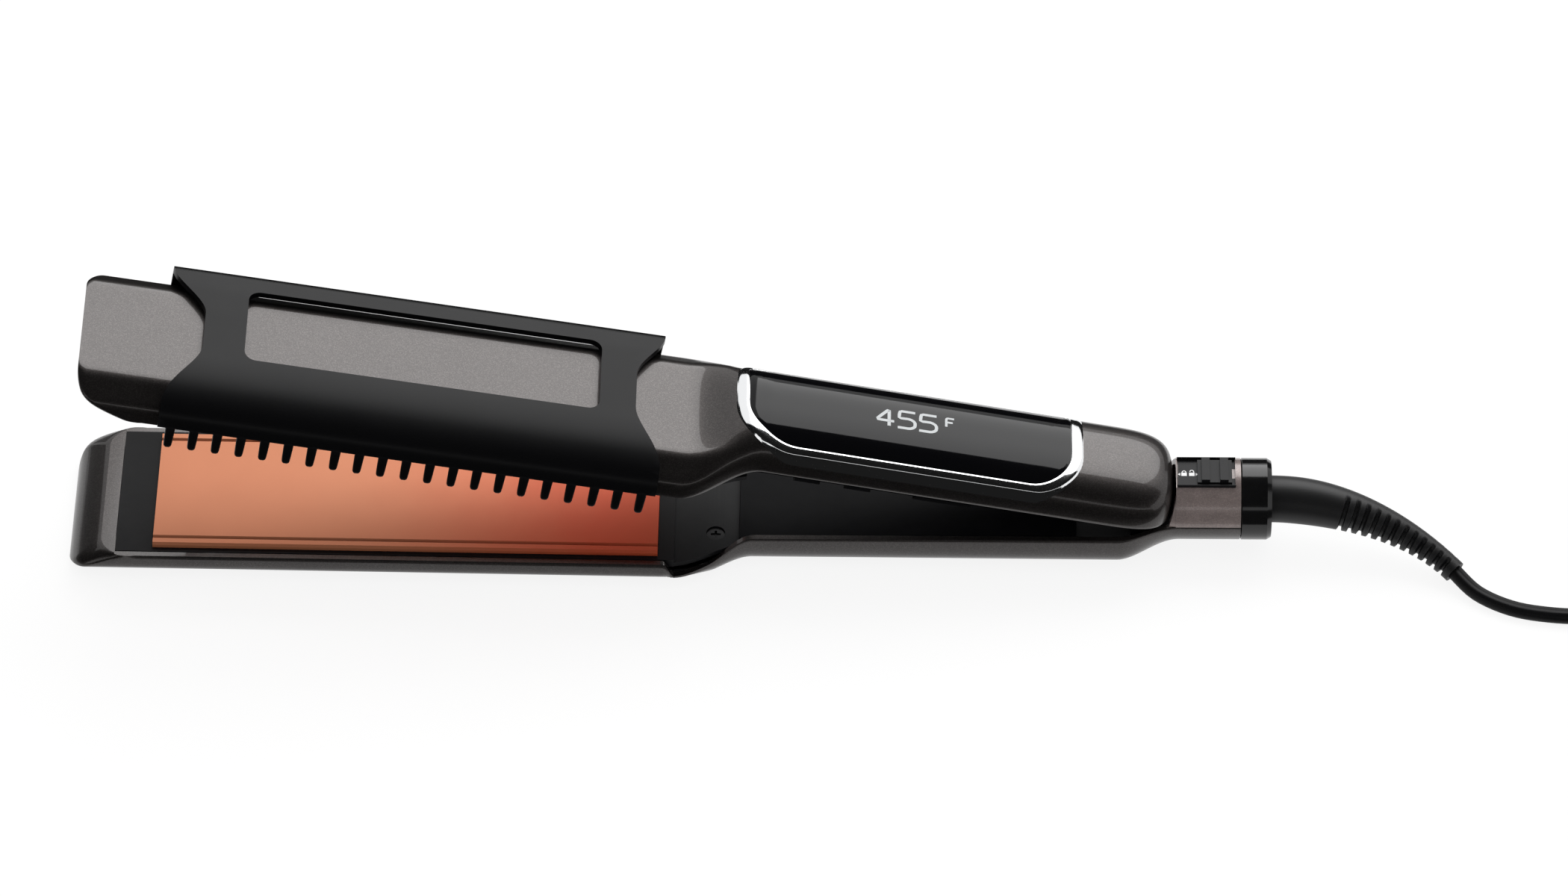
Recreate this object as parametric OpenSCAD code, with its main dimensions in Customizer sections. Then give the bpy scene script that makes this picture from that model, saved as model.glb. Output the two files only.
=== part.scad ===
// Digital flat iron with a clip-on comb cover, swivel cord and mains plug.
// X runs along the iron from its tip to its cord, Y across it, Z up.
// Both arms are drawn closed, then the upper one is swung open about the hinge.

/* [Heating plates] */
// Length of each heating plate
plate_l = 123; // [100:1:140]
// Casing and carrier beside each plate
plate_edge = 3; // [2.5:0.1:6]
// How far a plate sinks against its pads
plate_float = 0.8; // [0.4:0.1:1]
// Gap between the two plates when the arms are shut
plate_gap = 0.5; // [0.3:0.1:1]

/* [Iron arms] */
// Width of each arm over the plates
arm_w = 44; // [42:0.5:50]
// Thickness of an arm from its outer face to its plate
arm_h = 10.3; // [10:0.1:13]
// Width of the flat outer face
flat_w = 31; // [24:0.5:34]
// Height of the long bevels beside the outer face
bevel_h = 4.3; // [3:0.1:5]
// Wall of the casings
wall = 1.5; // [1.2:0.1:1.8]
// Distance from the tip to the plates
nose_l = 21; // [18:1:30]
// How far the tip leans back towards the plates
nose_lean = 7.5; // [4:0.5:8]

/* [Handle] */
// Length of the shoulders between plates and handle
neck_l = 19; // [16:1:26]
// Length of the handle, from its shoulders to the hinge
handle_l = 95; // [90:1:120]
// Width of the handle
handle_w = 29.4; // [28:0.2:32]
// Height of the upper handle's crown over its rim
crown_h = 10; // [9:0.1:12]
// Slope of the lower handle up towards the barrel, in degrees
handle_rise = 1; // [0.5:0.1:1.2]

/* [Hinge and barrel] */
// Angle between the open arms, in degrees
open_angle = 10; // [6:0.5:12]
// Diameter of the hinge pin
pin_d = 4; // [3:0.1:4.4]
// Diameter of the rear barrel
barrel_d = 19.9; // [19.4:0.1:22]
// Length of the barrel cover
barrel_l = 15.8; // [15:0.1:22]
// Length of the end collar
collar_l = 7.6; // [6:0.1:12]
// Travel of the plate lock
lock_travel = 4.5; // [3:0.1:4.6]

/* [Comb cover] */
// Number of comb teeth
teeth = 21; // [15:1:24]
// Length of a tooth
tooth_l = 6.3; // [4:0.1:6.6]
// Wall of the comb cover
comb_wall = 1.6; // [1.2:0.1:1.8]

/* [Display and buttons] */
// Length of the display window over its bright ring
window_l = 84; // [76:1:84]
// Width of the bright ring at its ends
ring_w = 2; // [1.4:0.1:2.4]
// Travel of the buttons
button_travel = 0.6; // [0.3:0.1:0.8]

/* [Cord] */
// Diameter of the cord
cord_d = 4; // [4:0.1:4.2]
// Loops in the put-away coil
coil_loops = 12; // [8:4:12]

/* [Hidden] */
// Stations along the iron, measured from its tip
plate_end = nose_l + plate_l;
neck_start = plate_end + 4;
neck_end = neck_start + neck_l;
hinge_u = neck_end + handle_l;
dome_end = hinge_u + 5.4;
tail_start = hinge_u - 6;
barrel_start = hinge_u + 8.2;
barrel_end = barrel_start + barrel_l;
collar_end = barrel_end + collar_l;
carrier_start = nose_l - 9.2;
cover_start = neck_end - 3.2;
cover_end = hinge_u - 16;
origin_u = nose_l + plate_l / 2;

// Heights, with the closing plane half a plate gap over the lower plate
plane_z = arm_h + plate_gap / 2;
rim_drop = 1.7;
rise_slope = tan(handle_rise);
hinge_z = plane_z + (hinge_u - neck_start) * rise_slope;
upper_fall = 1.2;
upper_rim = 7.4;
window_depth = 2.2;
skin = 0.3;
fit = 0.1;
dome_l = 20;
nose_r = 5;

// Fits of the moving plates
lip = 1.2;
floor_z = wall + 1;
pad_h = plate_float + 0.4;
pad_side = 10;
pad_inset = 20;
heater_h = 1.6;
heater_w = 14;
heater_inset = 12;
carrier_floor = 1.4;
plate_w = arm_w - 2 * plate_edge;
plate_half = plate_w / 2;

// ---- Placing ----

// Puts a piece drawn from the tip into the part's frame.
module place() {
    translate([-origin_u, 0, 0]) children();
}

// Swings a piece of the upper arm from shut to open.
module swing() {
    place()
        translate([hinge_u, 0, hinge_z]) rotate([0, open_angle, 0])
            translate([-hinge_u, 0, -hinge_z]) children();
}

// Turns a piece drawn outward from the lower plate over, so that it serves the upper arm.
module overturn() {
    swing() translate([0, 0, 2 * plane_z]) mirror([0, 0, 1]) children();
}

// ---- Lofted shells ----

function smooth(a, b, x) =
    let (t = max(0, min(1, (x - a) / (b - a)))) t * t * (3 - 2 * t);
function mix(a, b, t) = a * (1 - t) + b * t;
function joined(lists) = [for (l = lists) each l];
function turned(list) = [for (k = [len(list) - 1:-1:0]) list[k]];

// A closed solid through rings of the same number of points, whose halves face each other.
module loft(rings) {
    n = len(rings[0]);
    last = len(rings) - 1;
    half = n / 2;
    sides = [for (i = [0:last - 1]) for (k = [0:n - 1]) let (q = (k + 1) % n) each
        [[i * n + k, (i + 1) * n + k, (i + 1) * n + q], [i * n + k, (i + 1) * n + q, i * n + q]]];
    caps = [for (k = [0:half - 2]) each k < half / 2
        ? [[k, k + 1, n - 1 - k], [k + 1, n - 2 - k, n - 1 - k]]
        : [[k, k + 1, n - 2 - k], [k, n - 2 - k, n - 1 - k]]];
    far = [for (f = caps) [for (v = turned(f)) v + last * n]];
    polyhedron(joined(rings), concat(sides, caps, far));
}

// A solid tube through rings of points, each end closed by a fan.
module tube(rings) {
    n = len(rings[0]);
    last = len(rings) - 1;
    sides = [for (i = [0:last - 1]) for (k = [0:n - 1]) let (q = (k + 1) % n) each
        [[i * n + k, (i + 1) * n + k, (i + 1) * n + q], [i * n + k, (i + 1) * n + q, i * n + q]]];
    caps = [for (k = [1:n - 2]) [0, k, k + 1]];
    far = [for (f = caps) [for (v = turned(f)) v + last * n]];
    polyhedron(joined(rings), concat(sides, caps, far));
}

// Half a section of an iron arm, from its middle to its rim: distance across, depth outward.
function arm_half(half, out, rim, flat) = [
    [0, out], [flat * 0.5, out], [flat - 1, out], [flat + 0.8, out - 0.45],
    [(flat + half) / 2, out - bevel_h / 2], [half - 0.9, out - bevel_h + 0.7],
    [half, out - bevel_h - 0.9], [half, (out - bevel_h - 0.9 + rim) / 2], [half, rim]];

// Half a rounded section of a handle, squarer as the power grows.
function round_half(half, out, rim, power) = [for (k = [0:8]) let (a = 90 * k / 8)
    [half * pow(sin(a), 2 / power), rim + (out - rim) * pow(max(0, cos(a)), 2 / power)]];

function blend_half(a, b, t) = [for (k = [0:len(a) - 1]) mix(a[k], b[k], t)];
function whole(half) = concat(
    [for (k = [len(half) - 1:-1:1]) [-half[k][0], half[k][1]]], half);

// Width and depths of the lower arm along its length, outward from the closing plane
function corner_cut(u) = u >= nose_r ? 0 : nose_r - sqrt(pow(nose_r, 2) - pow(nose_r - u, 2));
function tail(u) = smooth(tail_start, barrel_start + 1, u);
function neck(u) = smooth(neck_start - 1, neck_end, u);
function line_up(u) = max(0, u - neck_start) * rise_slope;
function lower_half_w(u) =
    mix(mix(arm_w / 2, handle_w / 2, neck(u)), barrel_d / 2, tail(u)) - corner_cut(u);
function lower_rim(u) =
    let (scoop = 4.2 * smooth(plate_end + 1.5, neck_start, u) * (1 - smooth(neck_start + 8, neck_end, u)))
    mix(rim_drop, 0, neck(u)) + scoop - line_up(u);
function lower_out(u) =
    mix(mix(plane_z, plane_z - 0.4, neck(u)), barrel_d / 2, tail(u))
        - line_up(u) * mix(0.55, 1, tail(u)) * neck(u);

// The same for the upper arm
function dome(u) = max(0, u - (dome_end - dome_l)) / dome_l;
function round_off(t, power) = pow(max(0.06, 1 - pow(min(1, t), power)), 1 / power);
function upper_half_w(u) =
    mix(arm_w / 2, handle_w / 2, neck(u)) * round_off(dome(u), 2.5) - corner_cut(u);
function upper_fall_at(u) = max(0, u - neck_end) * tan(upper_fall);
function upper_rim_at(u) = mix(rim_drop, upper_rim, neck(u)) - upper_fall_at(u);
function crown(u) = mix(plane_z - rim_drop, crown_h, neck(u)) * round_off(dome(u), 3);
function upper_out(u) = upper_rim_at(u) + crown(u);
crown_power = 2.4;
function crown_at(u, y) =
    upper_rim_at(u) + crown(u) * pow(max(0, 1 - pow(abs(y) / upper_half_w(u), crown_power)), 1 / crown_power);

// The leaning end of the nose: points nearer the rim sit further back.
function lean(u, depth, rim, out) =
    nose_lean * max(0, 1 - u / carrier_start) * (1 - (depth - rim) / (out - rim));

nose_stations = [0, 0.5, 1.6, 3.2, nose_r, carrier_start];
neck_stations = [for (k = [0:9]) mix(plate_end + 1.5, neck_end, k / 9)];

function lower_section(u, inset) = whole(blend_half(
    blend_half(arm_half(lower_half_w(u) - inset, lower_out(u) - inset, lower_rim(u), flat_w / 2 - inset * 0.4),
               round_half(lower_half_w(u) - inset, lower_out(u) - inset, lower_rim(u), 3.6), neck(u)),
    round_half(lower_half_w(u) - inset, lower_out(u) - inset, lower_rim(u), 2), tail(u)));

// A ring of a U-shaped shell; hollow says whether the station has a cavity.
function shell_ring(u, outer, inner, hollow, rim, out, side) =
    let (n = len(outer),
         o = [for (p = outer) [u + lean(u, p[1], rim, out), side * p[0], plane_z - side * p[1]]],
         i = [for (k = [0:n - 1]) hollow ? [u, side * inner[k][0], plane_z - side * inner[k][1]]
             : [o[0][0], side * mix(inner[0][0], inner[n - 1][0], k / (n - 1)), plane_z - side * rim]])
    concat(o, turned(i));

lower_stations = concat(
    [for (u = nose_stations) [u, false]], [[carrier_start, true], [plate_end / 2, true]],
    [for (u = neck_stations) [u, true]],
    [for (k = [1:3]) [mix(neck_end, tail_start, k / 3), true]],
    [for (k = [1:7]) [mix(tail_start, barrel_start + 1, k / 7), true]],
    [[barrel_end, true]]);

module lower_casing() {
    color([0.16, 0.15, 0.16]) place()
        loft([for (s = lower_stations)
            shell_ring(s[0], lower_section(s[0], 0), lower_section(s[0], wall), s[1],
                       lower_rim(s[0]), lower_out(s[0]), 1)]);
}

// Half the width of a rounded rectangle at a distance along it.
function rect_half(t, length, half, r) =
    let (e = min(t, length - t)) e >= r ? half : half - r + sqrt(pow(r, 2) - pow(r - max(0, e), 2));

window_start = neck_end - 7;
window_end = window_start + window_l;
window_half = handle_w / 2 * 0.955;
window_r = 8.5;
window_steps = [for (k = [0:5]) window_r * (1 - cos(18 * k))];
window_marks = concat(window_steps, [window_l * 0.35, window_l * 0.65],
    [for (k = [5:-1:0]) window_l - window_steps[k]]);

// Half the upper casing's section: a crown with a step where the window sits, then the side.
function upper_handle_half(u, edge, depth, inset) =
    let (half = upper_half_w(u), e = min(edge, half * 0.95), rim = upper_rim_at(u))
    inset > 0
        ? round_half(half - inset, upper_out(u) - inset - window_depth, rim, crown_power)
        : concat([for (k = [0:5]) [e * (k / 5), crown_at(u, e * (k / 5)) - depth]],
                 [[e, crown_at(u, e)], [mix(e, half, 0.7), crown_at(u, mix(e, half, 0.7))], [half, rim]]);
function upper_arm_half(u, inset) = arm_half(
    upper_half_w(u) - inset, upper_out(u) - inset, upper_rim_at(u), flat_w / 2 - inset * 0.4);
function upper_section(u, edge, depth, inset) = whole(blend_half(
    upper_arm_half(u, inset), upper_handle_half(u, edge, depth, inset),
    inset > 0 ? neck(u) : depth > 0 ? 1 : smooth(neck_start - 1, window_start, u)));

first_edge = window_half - window_r;
upper_stations = concat(
    [for (u = nose_stations) [u, false, first_edge, 0]],
    [[carrier_start, true, first_edge, 0], [plate_end / 2, true, first_edge, 0]],
    [for (k = [0:6]) [mix(plate_end + 1.5, window_start, k / 6), true, first_edge, 0]],
    [for (t = window_marks)
        [window_start + t, true, rect_half(t, window_l, window_half, window_r), window_depth]],
    [[window_end, true, first_edge, 0]],
    [for (k = [1:8]) [mix(window_end, dome_end - 1.6, sin(90 * k / 8)), true, first_edge, 0]],
    [[dome_end - 1.6, false, first_edge, 0], [dome_end, false, first_edge, 0]]);

module upper_casing() {
    color([0.17, 0.16, 0.17]) swing()
        loft([for (s = upper_stations)
            shell_ring(s[0], upper_section(s[0], s[2], s[3], 0), upper_section(s[0], 0, 0, wall), s[1],
                       upper_rim_at(s[0]), upper_out(s[0]), -1)]);
}

// ---- Pieces in the mouth of each arm ----

lip_z = arm_h - rim_drop + 0.4;
tab_l = 1.6;
tab_h = 1.2;
tab_z = lip_z - lip - tab_h;
core_z = floor_z + 1.9;
core_gap = 2.2;
ledge_z = wall + bevel_h + 0.8;
neck_lip = 1.2;

// Outline of a piece that lies inside the lower casing's mouth.
module mouth_plan(start, stop, gap, steps) {
    line = [for (k = [0:steps]) mix(start, stop, k / steps)];
    near = [for (u = line) [u, -(lower_half_w(u) - wall - gap)]];
    polygon(concat(near, [for (p = turned(near)) [p[0], -p[1]]]));
}

// Heat-proof insert with the opening that its plate floats in.
module plate_carrier() {
    difference() {
        union() {
            translate([0, 0, ledge_z]) linear_extrude(lip_z - ledge_z)
                mouth_plan(carrier_start + fit, neck_start, 0.15, 1);
            translate([0, 0, ledge_z]) linear_extrude(lip_z - ledge_z - neck_lip)
                mouth_plan(neck_start, cover_start - fit, 0.3, 6);
            translate([0, 0, core_z]) linear_extrude(ledge_z - core_z)
                mouth_plan(carrier_start + fit, neck_start, core_gap, 1);
            translate([0, 0, core_z]) linear_extrude(ledge_z - core_z)
                mouth_plan(neck_start, cover_start - fit, core_gap, 6);
            translate([carrier_start + fit, -flat_w / 2 + 2, floor_z])
                cube([neck_start - carrier_start, flat_w - 4, core_z - floor_z]);
        }
        translate([nose_l - fit, -plate_half - fit, floor_z + carrier_floor])
            cube([plate_l + 2 * fit, plate_w + 2 * fit, arm_h]);
        translate([nose_l - fit - tab_l, -plate_half / 2 - fit, floor_z + carrier_floor])
            cube([plate_l + 2 * (fit + tab_l), plate_half + 2 * fit, tab_z + tab_h + fit - floor_z - carrier_floor]);
        for (side = [-1, 1]) translate([screw_u, side * screw_y, lip_z - neck_lip - screw_sink])
            cylinder(d = screw_d + 2 * fit, h = 5, $fn = 32);
    }
}

screw_u = neck_start + 10;
screw_y = 9.8;
screw_d = 4.4;
screw_sink = 1.6;

// Plate with a groove and a raised bead along each long edge, held down by a tab at each end.
module plate() {
    bead = 1.9;
    groove = 1;
    base_z = floor_z + carrier_floor + pad_h + heater_h;
    translate([nose_l, 0, 0]) rotate([90, 0, 90]) linear_extrude(plate_l)
        polygon([[-plate_half, base_z], [plate_half, base_z], [plate_half, arm_h - 0.5],
                 [plate_half - 0.5, arm_h], [plate_half - bead, arm_h],
                 [plate_half - bead - groove / 2, arm_h - 0.5], [plate_half - bead - groove, arm_h],
                 [-plate_half + bead + groove, arm_h], [-plate_half + bead + groove / 2, arm_h - 0.5],
                 [-plate_half + bead, arm_h], [-plate_half + 0.5, arm_h], [-plate_half, arm_h - 0.5]]);
    for (u = [nose_l - tab_l, plate_end - 1])
        translate([u, -plate_half / 2, base_z]) cube([tab_l + 1, plate_half, tab_z + tab_h - base_z]);
}

module heater() {
    translate([nose_l + heater_inset, -heater_w / 2, floor_z + carrier_floor + pad_h])
        cube([plate_l - 2 * heater_inset, heater_w, heater_h]);
}

module pads() {
    for (k = [0:2])
        translate([mix(nose_l + pad_inset, plate_end - pad_inset, k / 2) - pad_side / 2, -pad_side / 2,
                   floor_z + carrier_floor])
            cube([pad_side, pad_side, pad_h]);
}

module lower_plate_carrier() { color([0.05, 0.05, 0.05]) place() plate_carrier(); }
module lower_plate() { color([0.8, 0.42, 0.3]) place() plate(); }
module lower_heater() { color([0.9, 0.9, 0.86]) place() heater(); }
module lower_plate_pads() { color([0.55, 0.15, 0.1]) place() pads(); }
module upper_plate_carrier() { color([0.05, 0.05, 0.05]) overturn() plate_carrier(); }
module upper_plate() { color([0.8, 0.42, 0.3]) overturn() plate(); }
module upper_heater() { color([0.9, 0.9, 0.86]) overturn() heater(); }
module upper_plate_pads() { color([0.55, 0.15, 0.1]) overturn() pads(); }

// Pan-head screws with a cross slot, sunk in the carrier.
module carrier_screws() {
    head_z = lip_z - neck_lip - screw_sink;
    color([0.5, 0.5, 0.52]) place() for (side = [-1, 1]) translate([screw_u, side * screw_y, head_z])
        difference() {
            cylinder(d = screw_d, h = 1.2, $fn = 32);
            for (a = [0, 90]) rotate([0, 0, a]) translate([-1.2, -0.3, 0.6]) cube([2.4, 0.6, 1]);
        }
}

// ---- Lower handle, barrel and hinge ----

cover_t = 1.4;

// Turns a piece about the start of the neck, along the rising handle.
module rising() {
    translate([neck_start, 0, plane_z]) rotate([0, -handle_rise, 0]) translate([-neck_start, 0, 0]) children();
}

module lower_handle_cover() {
    color([0.04, 0.04, 0.045]) place() rising()
        translate([0, 0, -0.9 - cover_t]) linear_extrude(cover_t)
            mouth_plan(cover_start, cover_end, 0.35, 6);
}

// Moves to the rising axis of the barrel at a station, with Z along the axis and X down.
module on_axis(u) {
    rising() translate([u, 0, 0]) rotate([0, 90, 0]) children();
}

recess_half = 4.8;
recess_depth = 1.3;
slider_half = 3.8;
slider_l = 8.4;
slider_end = barrel_end - 2.2;

module barrel_cover() {
    color([0.3, 0.26, 0.24]) place() difference() {
        on_axis(barrel_start) cylinder(d = barrel_d, h = barrel_l, $fn = 96);
        on_axis(barrel_start - 1) cylinder(d = barrel_d - 2 * wall - 1.6, h = barrel_l + 2, $fn = 96);
        rising() translate([barrel_start - 1, -barrel_d, -barrel_d + 0.05]) cube([barrel_l + 2, 2 * barrel_d, barrel_d]);
        rising() translate([barrel_start - 1, -recess_half, barrel_d / 2 - recess_depth])
            cube([slider_end + 0.8 - barrel_start + 1, 2 * recess_half, barrel_d]);
        rising() translate([slider_end - slider_l - lock_travel + 1.6, -1.6, 0])
            cube([slider_l + lock_travel - 3.2, 3.2, barrel_d]);
    }
}

// Thumb slide with two ribs and a guide that reaches through the cover.
module lock_slider() {
    color([0.2, 0.18, 0.17]) place() rising() {
        translate([slider_end - slider_l, -slider_half, barrel_d / 2 - recess_depth + 0.05])
            cube([slider_l, 2 * slider_half, 0.9]);
        for (u = [slider_end - 7.4, slider_end - 2.9])
            translate([u, -slider_half, barrel_d / 2 - recess_depth + 0.95]) cube([2, 2 * slider_half, 0.9]);
        translate([slider_end - slider_l + 2, -1.5, barrel_d / 2 - 5]) cube([slider_l - 4, 3, 4]);
    }
}

sleeve_d = 12.4;

module end_collar() {
    color([0.03, 0.03, 0.03]) place() on_axis(barrel_end + 0.05) rotate_extrude($fn = 96)
        polygon([[sleeve_d / 2 + 0.08, 0], [barrel_d / 2 - 0.3, 0], [barrel_d / 2 + 0.05, 0.3],
                 [barrel_d / 2 + 0.05, collar_l - 1.2], [barrel_d / 2 - 0.6, collar_l - 0.1],
                 [sleeve_d / 2 + 0.08, collar_l - 0.1]]);
}

module swivel_sleeve() {
    color([0.06, 0.06, 0.06]) place() on_axis(barrel_end - 2.4) rotate_extrude($fn = 64)
        polygon([[2.4, 0], [7.4, 0], [7.4, 2.3], [sleeve_d / 2, 2.3],
                 [sleeve_d / 2, collar_l + 2.4], [2.4, collar_l + 2.4]]);
}

ear_t = 2;
ear_y = 6.4;
ear_r = 4;
fork_half = 2.6;
knuckle_r = 4.8;
base_drop = knuckle_r + 0.2;
base_t = 1;
knuckle_near = -ear_y + skin;
knuckle_far = 0.6;

// Height of the casing's inner floor under the hinge
fork_floor = plane_z - lower_out(hinge_u + fork_half) + wall + fit;

// Fork that holds the ends of the hinge pin, on a post in the lower casing.
module hinge_fork() {
    color([0.09, 0.09, 0.1]) place() difference() {
        union() {
            for (side = [-1, 1]) translate([hinge_u, side * (ear_y + ear_t / 2), hinge_z]) {
                rotate([90, 0, 0]) cylinder(r = ear_r, h = ear_t, center = true, $fn = 48);
                translate([-fork_half, -ear_t / 2, -base_drop - base_t])
                    cube([2 * fork_half, ear_t, base_drop + base_t]);
            }
            translate([hinge_u - fork_half, -ear_y - ear_t, hinge_z - base_drop - base_t])
                cube([2 * fork_half, 2 * (ear_y + ear_t), base_t]);
            translate([hinge_u, 0, fork_floor]) cylinder(r = fork_half, h = hinge_z - base_drop - fork_floor, $fn = 48);
        }
        translate([hinge_u, 0, hinge_z]) rotate([90, 0, 0]) cylinder(d = pin_d, h = 60, center = true, $fn = 48);
    }
}

module hinge_pin() {
    color([0.7, 0.7, 0.72]) place() translate([hinge_u, 0, hinge_z]) rotate([90, 0, 0])
        cylinder(d = pin_d, h = 2 * (ear_y + ear_t), center = true, $fn = 48);
}

// Knuckle of the upper arm, on an arm that runs forward to the end of the upper handle's cover.
module hinge_knuckle() {
    reach = hinge_u - cover_end - skin;
    color([0.1, 0.1, 0.11]) swing() difference() {
        union() {
            translate([hinge_u, knuckle_near, hinge_z]) rotate([-90, 0, 0])
                cylinder(r = knuckle_r, h = knuckle_far - knuckle_near, $fn = 64);
            translate([hinge_u - reach, knuckle_near, hinge_z + 1.8])
                cube([reach, knuckle_far - knuckle_near, knuckle_r - 1.8]);
        }
        translate([hinge_u, 0, hinge_z]) rotate([90, 0, 0])
            cylinder(d = pin_d + 0.1, h = 60, center = true, $fn = 48);
    }
}

// A tube of radius r round a line of points, square to it.
function unit(v) = v / norm(v);
function ring_at(p, dir, r, sides, up) =
    let (w = unit(cross(dir, up)), v = cross(w, unit(dir)))
    [for (k = [0:sides - 1]) p + r * (cos(360 * (k + 0.5) / sides) * w + sin(360 * (k + 0.5) / sides) * v)];
function heading(line, i) = line[min(i + 1, len(line) - 1)] - line[max(i - 1, 0)];

spring_wire = 0.8;
spring_turns = 5;
spring_r = pin_d / 2 + 0.5 + spring_wire / 2;
spring_line = [for (k = [0:spring_turns * 10]) let (a = 36 * k)
    [spring_r * cos(a), knuckle_far + skin + spring_wire / 2 + k / 10 * (spring_wire + 0.1), spring_r * sin(a)]];

module hinge_spring() {
    color([0.6, 0.6, 0.62]) place() translate([hinge_u, 0, hinge_z])
        tube([for (k = [0:len(spring_line) - 1])
            ring_at(spring_line[k], heading(spring_line, k), spring_wire / 2, 6, [0, 1, 0])]);
}

// ---- Upper handle ----

upper_cover_t = 1.5;
cover_depth = 3.7;
cover_half = handle_w / 2 - 0.4;
cover_flat = cover_half - cover_depth - 0.1;

// Moves to the rim of the upper handle, with X along it, Z outward and the origin at its start.
module on_upper_rim() {
    swing() translate([cover_start, 0, plane_z + upper_rim_at(cover_start)])
        rotate([0, upper_fall, 0]) children();
}

cover_l = cover_end - cover_start;

module cover_profile(shrink) {
    polygon([[-cover_half + shrink, -0.1 + shrink * 2], [-cover_flat + shrink * 0.4, -cover_depth + shrink],
             [cover_flat - shrink * 0.4, -cover_depth + shrink], [cover_half - shrink, -0.1 + shrink * 2]]);
}

// Frame on the near bevel at a distance along the cover: Z points out through the bevel.
module on_bevel(t) {
    translate([t, -(cover_half + cover_flat) / 2, -(cover_depth + 0.1) / 2]) rotate([135, 0, 0]) children();
}

board_z = 0.2;
board_t = 1.2;
board_w = 16;
board_inset = 12;
module_w = 14;
module_l = 26;
module_h = 2;
post_inset = 15;
button_w = 3;
button_spots = [14.5, 27, 48];
button_sizes = [6.2, 6.2, 14];

module upper_handle_cover() {
    color([0.05, 0.05, 0.055]) on_upper_rim() difference() {
        rotate([90, 0, 90]) linear_extrude(cover_l) cover_profile(0);
        translate([upper_cover_t, 0, 0]) rotate([90, 0, 90]) linear_extrude(cover_l - 2 * upper_cover_t)
            cover_profile(upper_cover_t * 0.8);
        translate([-1, -cover_half + 2.5, -1.2]) cube([cover_l + 2, 2 * cover_half - 5, 5]);
        for (b = [0:2]) on_bevel(button_spots[b])
            translate([-button_sizes[b] / 2 - fit, -button_w / 2 - fit, -4])
                cube([button_sizes[b] + 2 * fit, button_w + 2 * fit, 8]);
    }
    color([0.05, 0.05, 0.055]) on_upper_rim()
        for (t = [post_inset, cover_l - post_inset - 12]) translate([t, -1.5, -cover_depth + 1])
            cube([3, 3, board_z + cover_depth - 1]);
}

// A button cap that stands a little out of the bevel.
module button(b) {
    on_upper_rim() on_bevel(button_spots[b])
        translate([-button_sizes[b] / 2, -button_w / 2, -1])
            cube([button_sizes[b], button_w, 1 + button_travel + 0.2]);
}

module button_minus() { color([0.12, 0.12, 0.12]) button(0); }
module button_plus() { color([0.12, 0.12, 0.12]) button(1); }
module button_power() { color([0.12, 0.12, 0.12]) button(2); }

module control_board() {
    color([0.05, 0.3, 0.15]) on_upper_rim()
        translate([board_inset, -board_w / 2, board_z])
            cube([cover_l - 2 * board_inset, board_w, board_t]);
}

module display_module() {
    color([0.15, 0.15, 0.15]) on_upper_rim()
        translate([2 * board_inset, -module_w / 2, board_z + board_t]) cube([module_l, module_w, module_h]);
}

// ---- Bright ring and display window, which follow the crown ----

// Outline of the window as points, anticlockwise from its near left corner.
function outline(inset) =
    let (half = window_half - inset, r = window_r - inset, a = window_start + inset, b = window_end - inset)
    concat([for (k = [0:4]) [a + r - r * cos(22.5 * k), -half + r - r * sin(22.5 * k)]],
           [for (k = [1:5]) [mix(a + r, b - r, k / 6), -half]],
           [for (k = [4:-1:0]) [b - r + r * cos(22.5 * k), -half + r - r * sin(22.5 * k)]],
           [for (k = [0:4]) [b - r + r * cos(22.5 * k), half - r + r * sin(22.5 * k)]],
           [for (k = [5:-1:1]) [mix(a + r, b - r, k / 6), half]],
           [for (k = [4:-1:0]) [a + r - r * cos(22.5 * k), half - r + r * sin(22.5 * k)]]);
function on_crown(p, lift) = [p[0], p[1], plane_z + crown_at(p[0], p[1]) + lift];

module bezel_ring() {
    outer = outline(0.12);
    inner = outline(ring_w * 0.55);
    n = len(outer);
    rows = [for (i = [0:n - 1]) [on_crown(outer[i], -1.4), on_crown(outer[i], 0.25),
        on_crown(inner[i], 0.3), on_crown(inner[i], -1.3)]];
    faces = [for (i = [0:n - 1]) for (k = [0:3]) let (j = (i + 1) % n, q = (k + 1) % 4) each
        [[i * 4 + k, i * 4 + q, j * 4 + q], [i * 4 + k, j * 4 + q, j * 4 + k]]];
    color([0.85, 0.86, 0.88]) swing() polyhedron(joined(rows), faces);
}

module display_window() {
    inset = ring_w * 0.55 + 0.15;
    length = window_l - 2 * inset;
    marks = [for (t = window_marks) t * length / window_l];
    color([0.02, 0.02, 0.025]) swing()
        loft([for (t = marks) let (u = window_start + inset + t,
            half = rect_half(t, length, window_half - inset, window_r - inset))
            turned(concat([for (k = [-5:5]) on_crown([u, half * k / 5], 0)],
                   [for (k = [5:-1:-5]) on_crown([u, half * k / 5], -1.5)]))]);
}

// ---- Comb cover ----

comb_start = nose_l - 0.4;
comb_end = plate_end - 0.6;
comb_lift = 0.9;
comb_top = plane_z + comb_lift + comb_wall;
comb_side = arm_w / 2 + 3;
comb_low = 4.4;

// Half-round path of the cover's outside, from its far hook over the top to the comb.
comb_far = [[comb_side - 1.1, 2], [comb_side - 1, 5], [comb_side - 1.1, comb_top - 2.6],
            [comb_side - 3, comb_top - 0.6], [flat_w / 2, comb_top - 0.1], [flat_w / 4, comb_top],
            [0, comb_top]];
comb_near = [for (k = [0:8]) let (a = 90 * k / 8)
    [-flat_w / 4 - (comb_side - flat_w / 4) * sin(a), comb_low + (comb_top - comb_low) * pow(cos(a), 0.75)]];
comb_path = concat(comb_far, comb_near);

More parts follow.
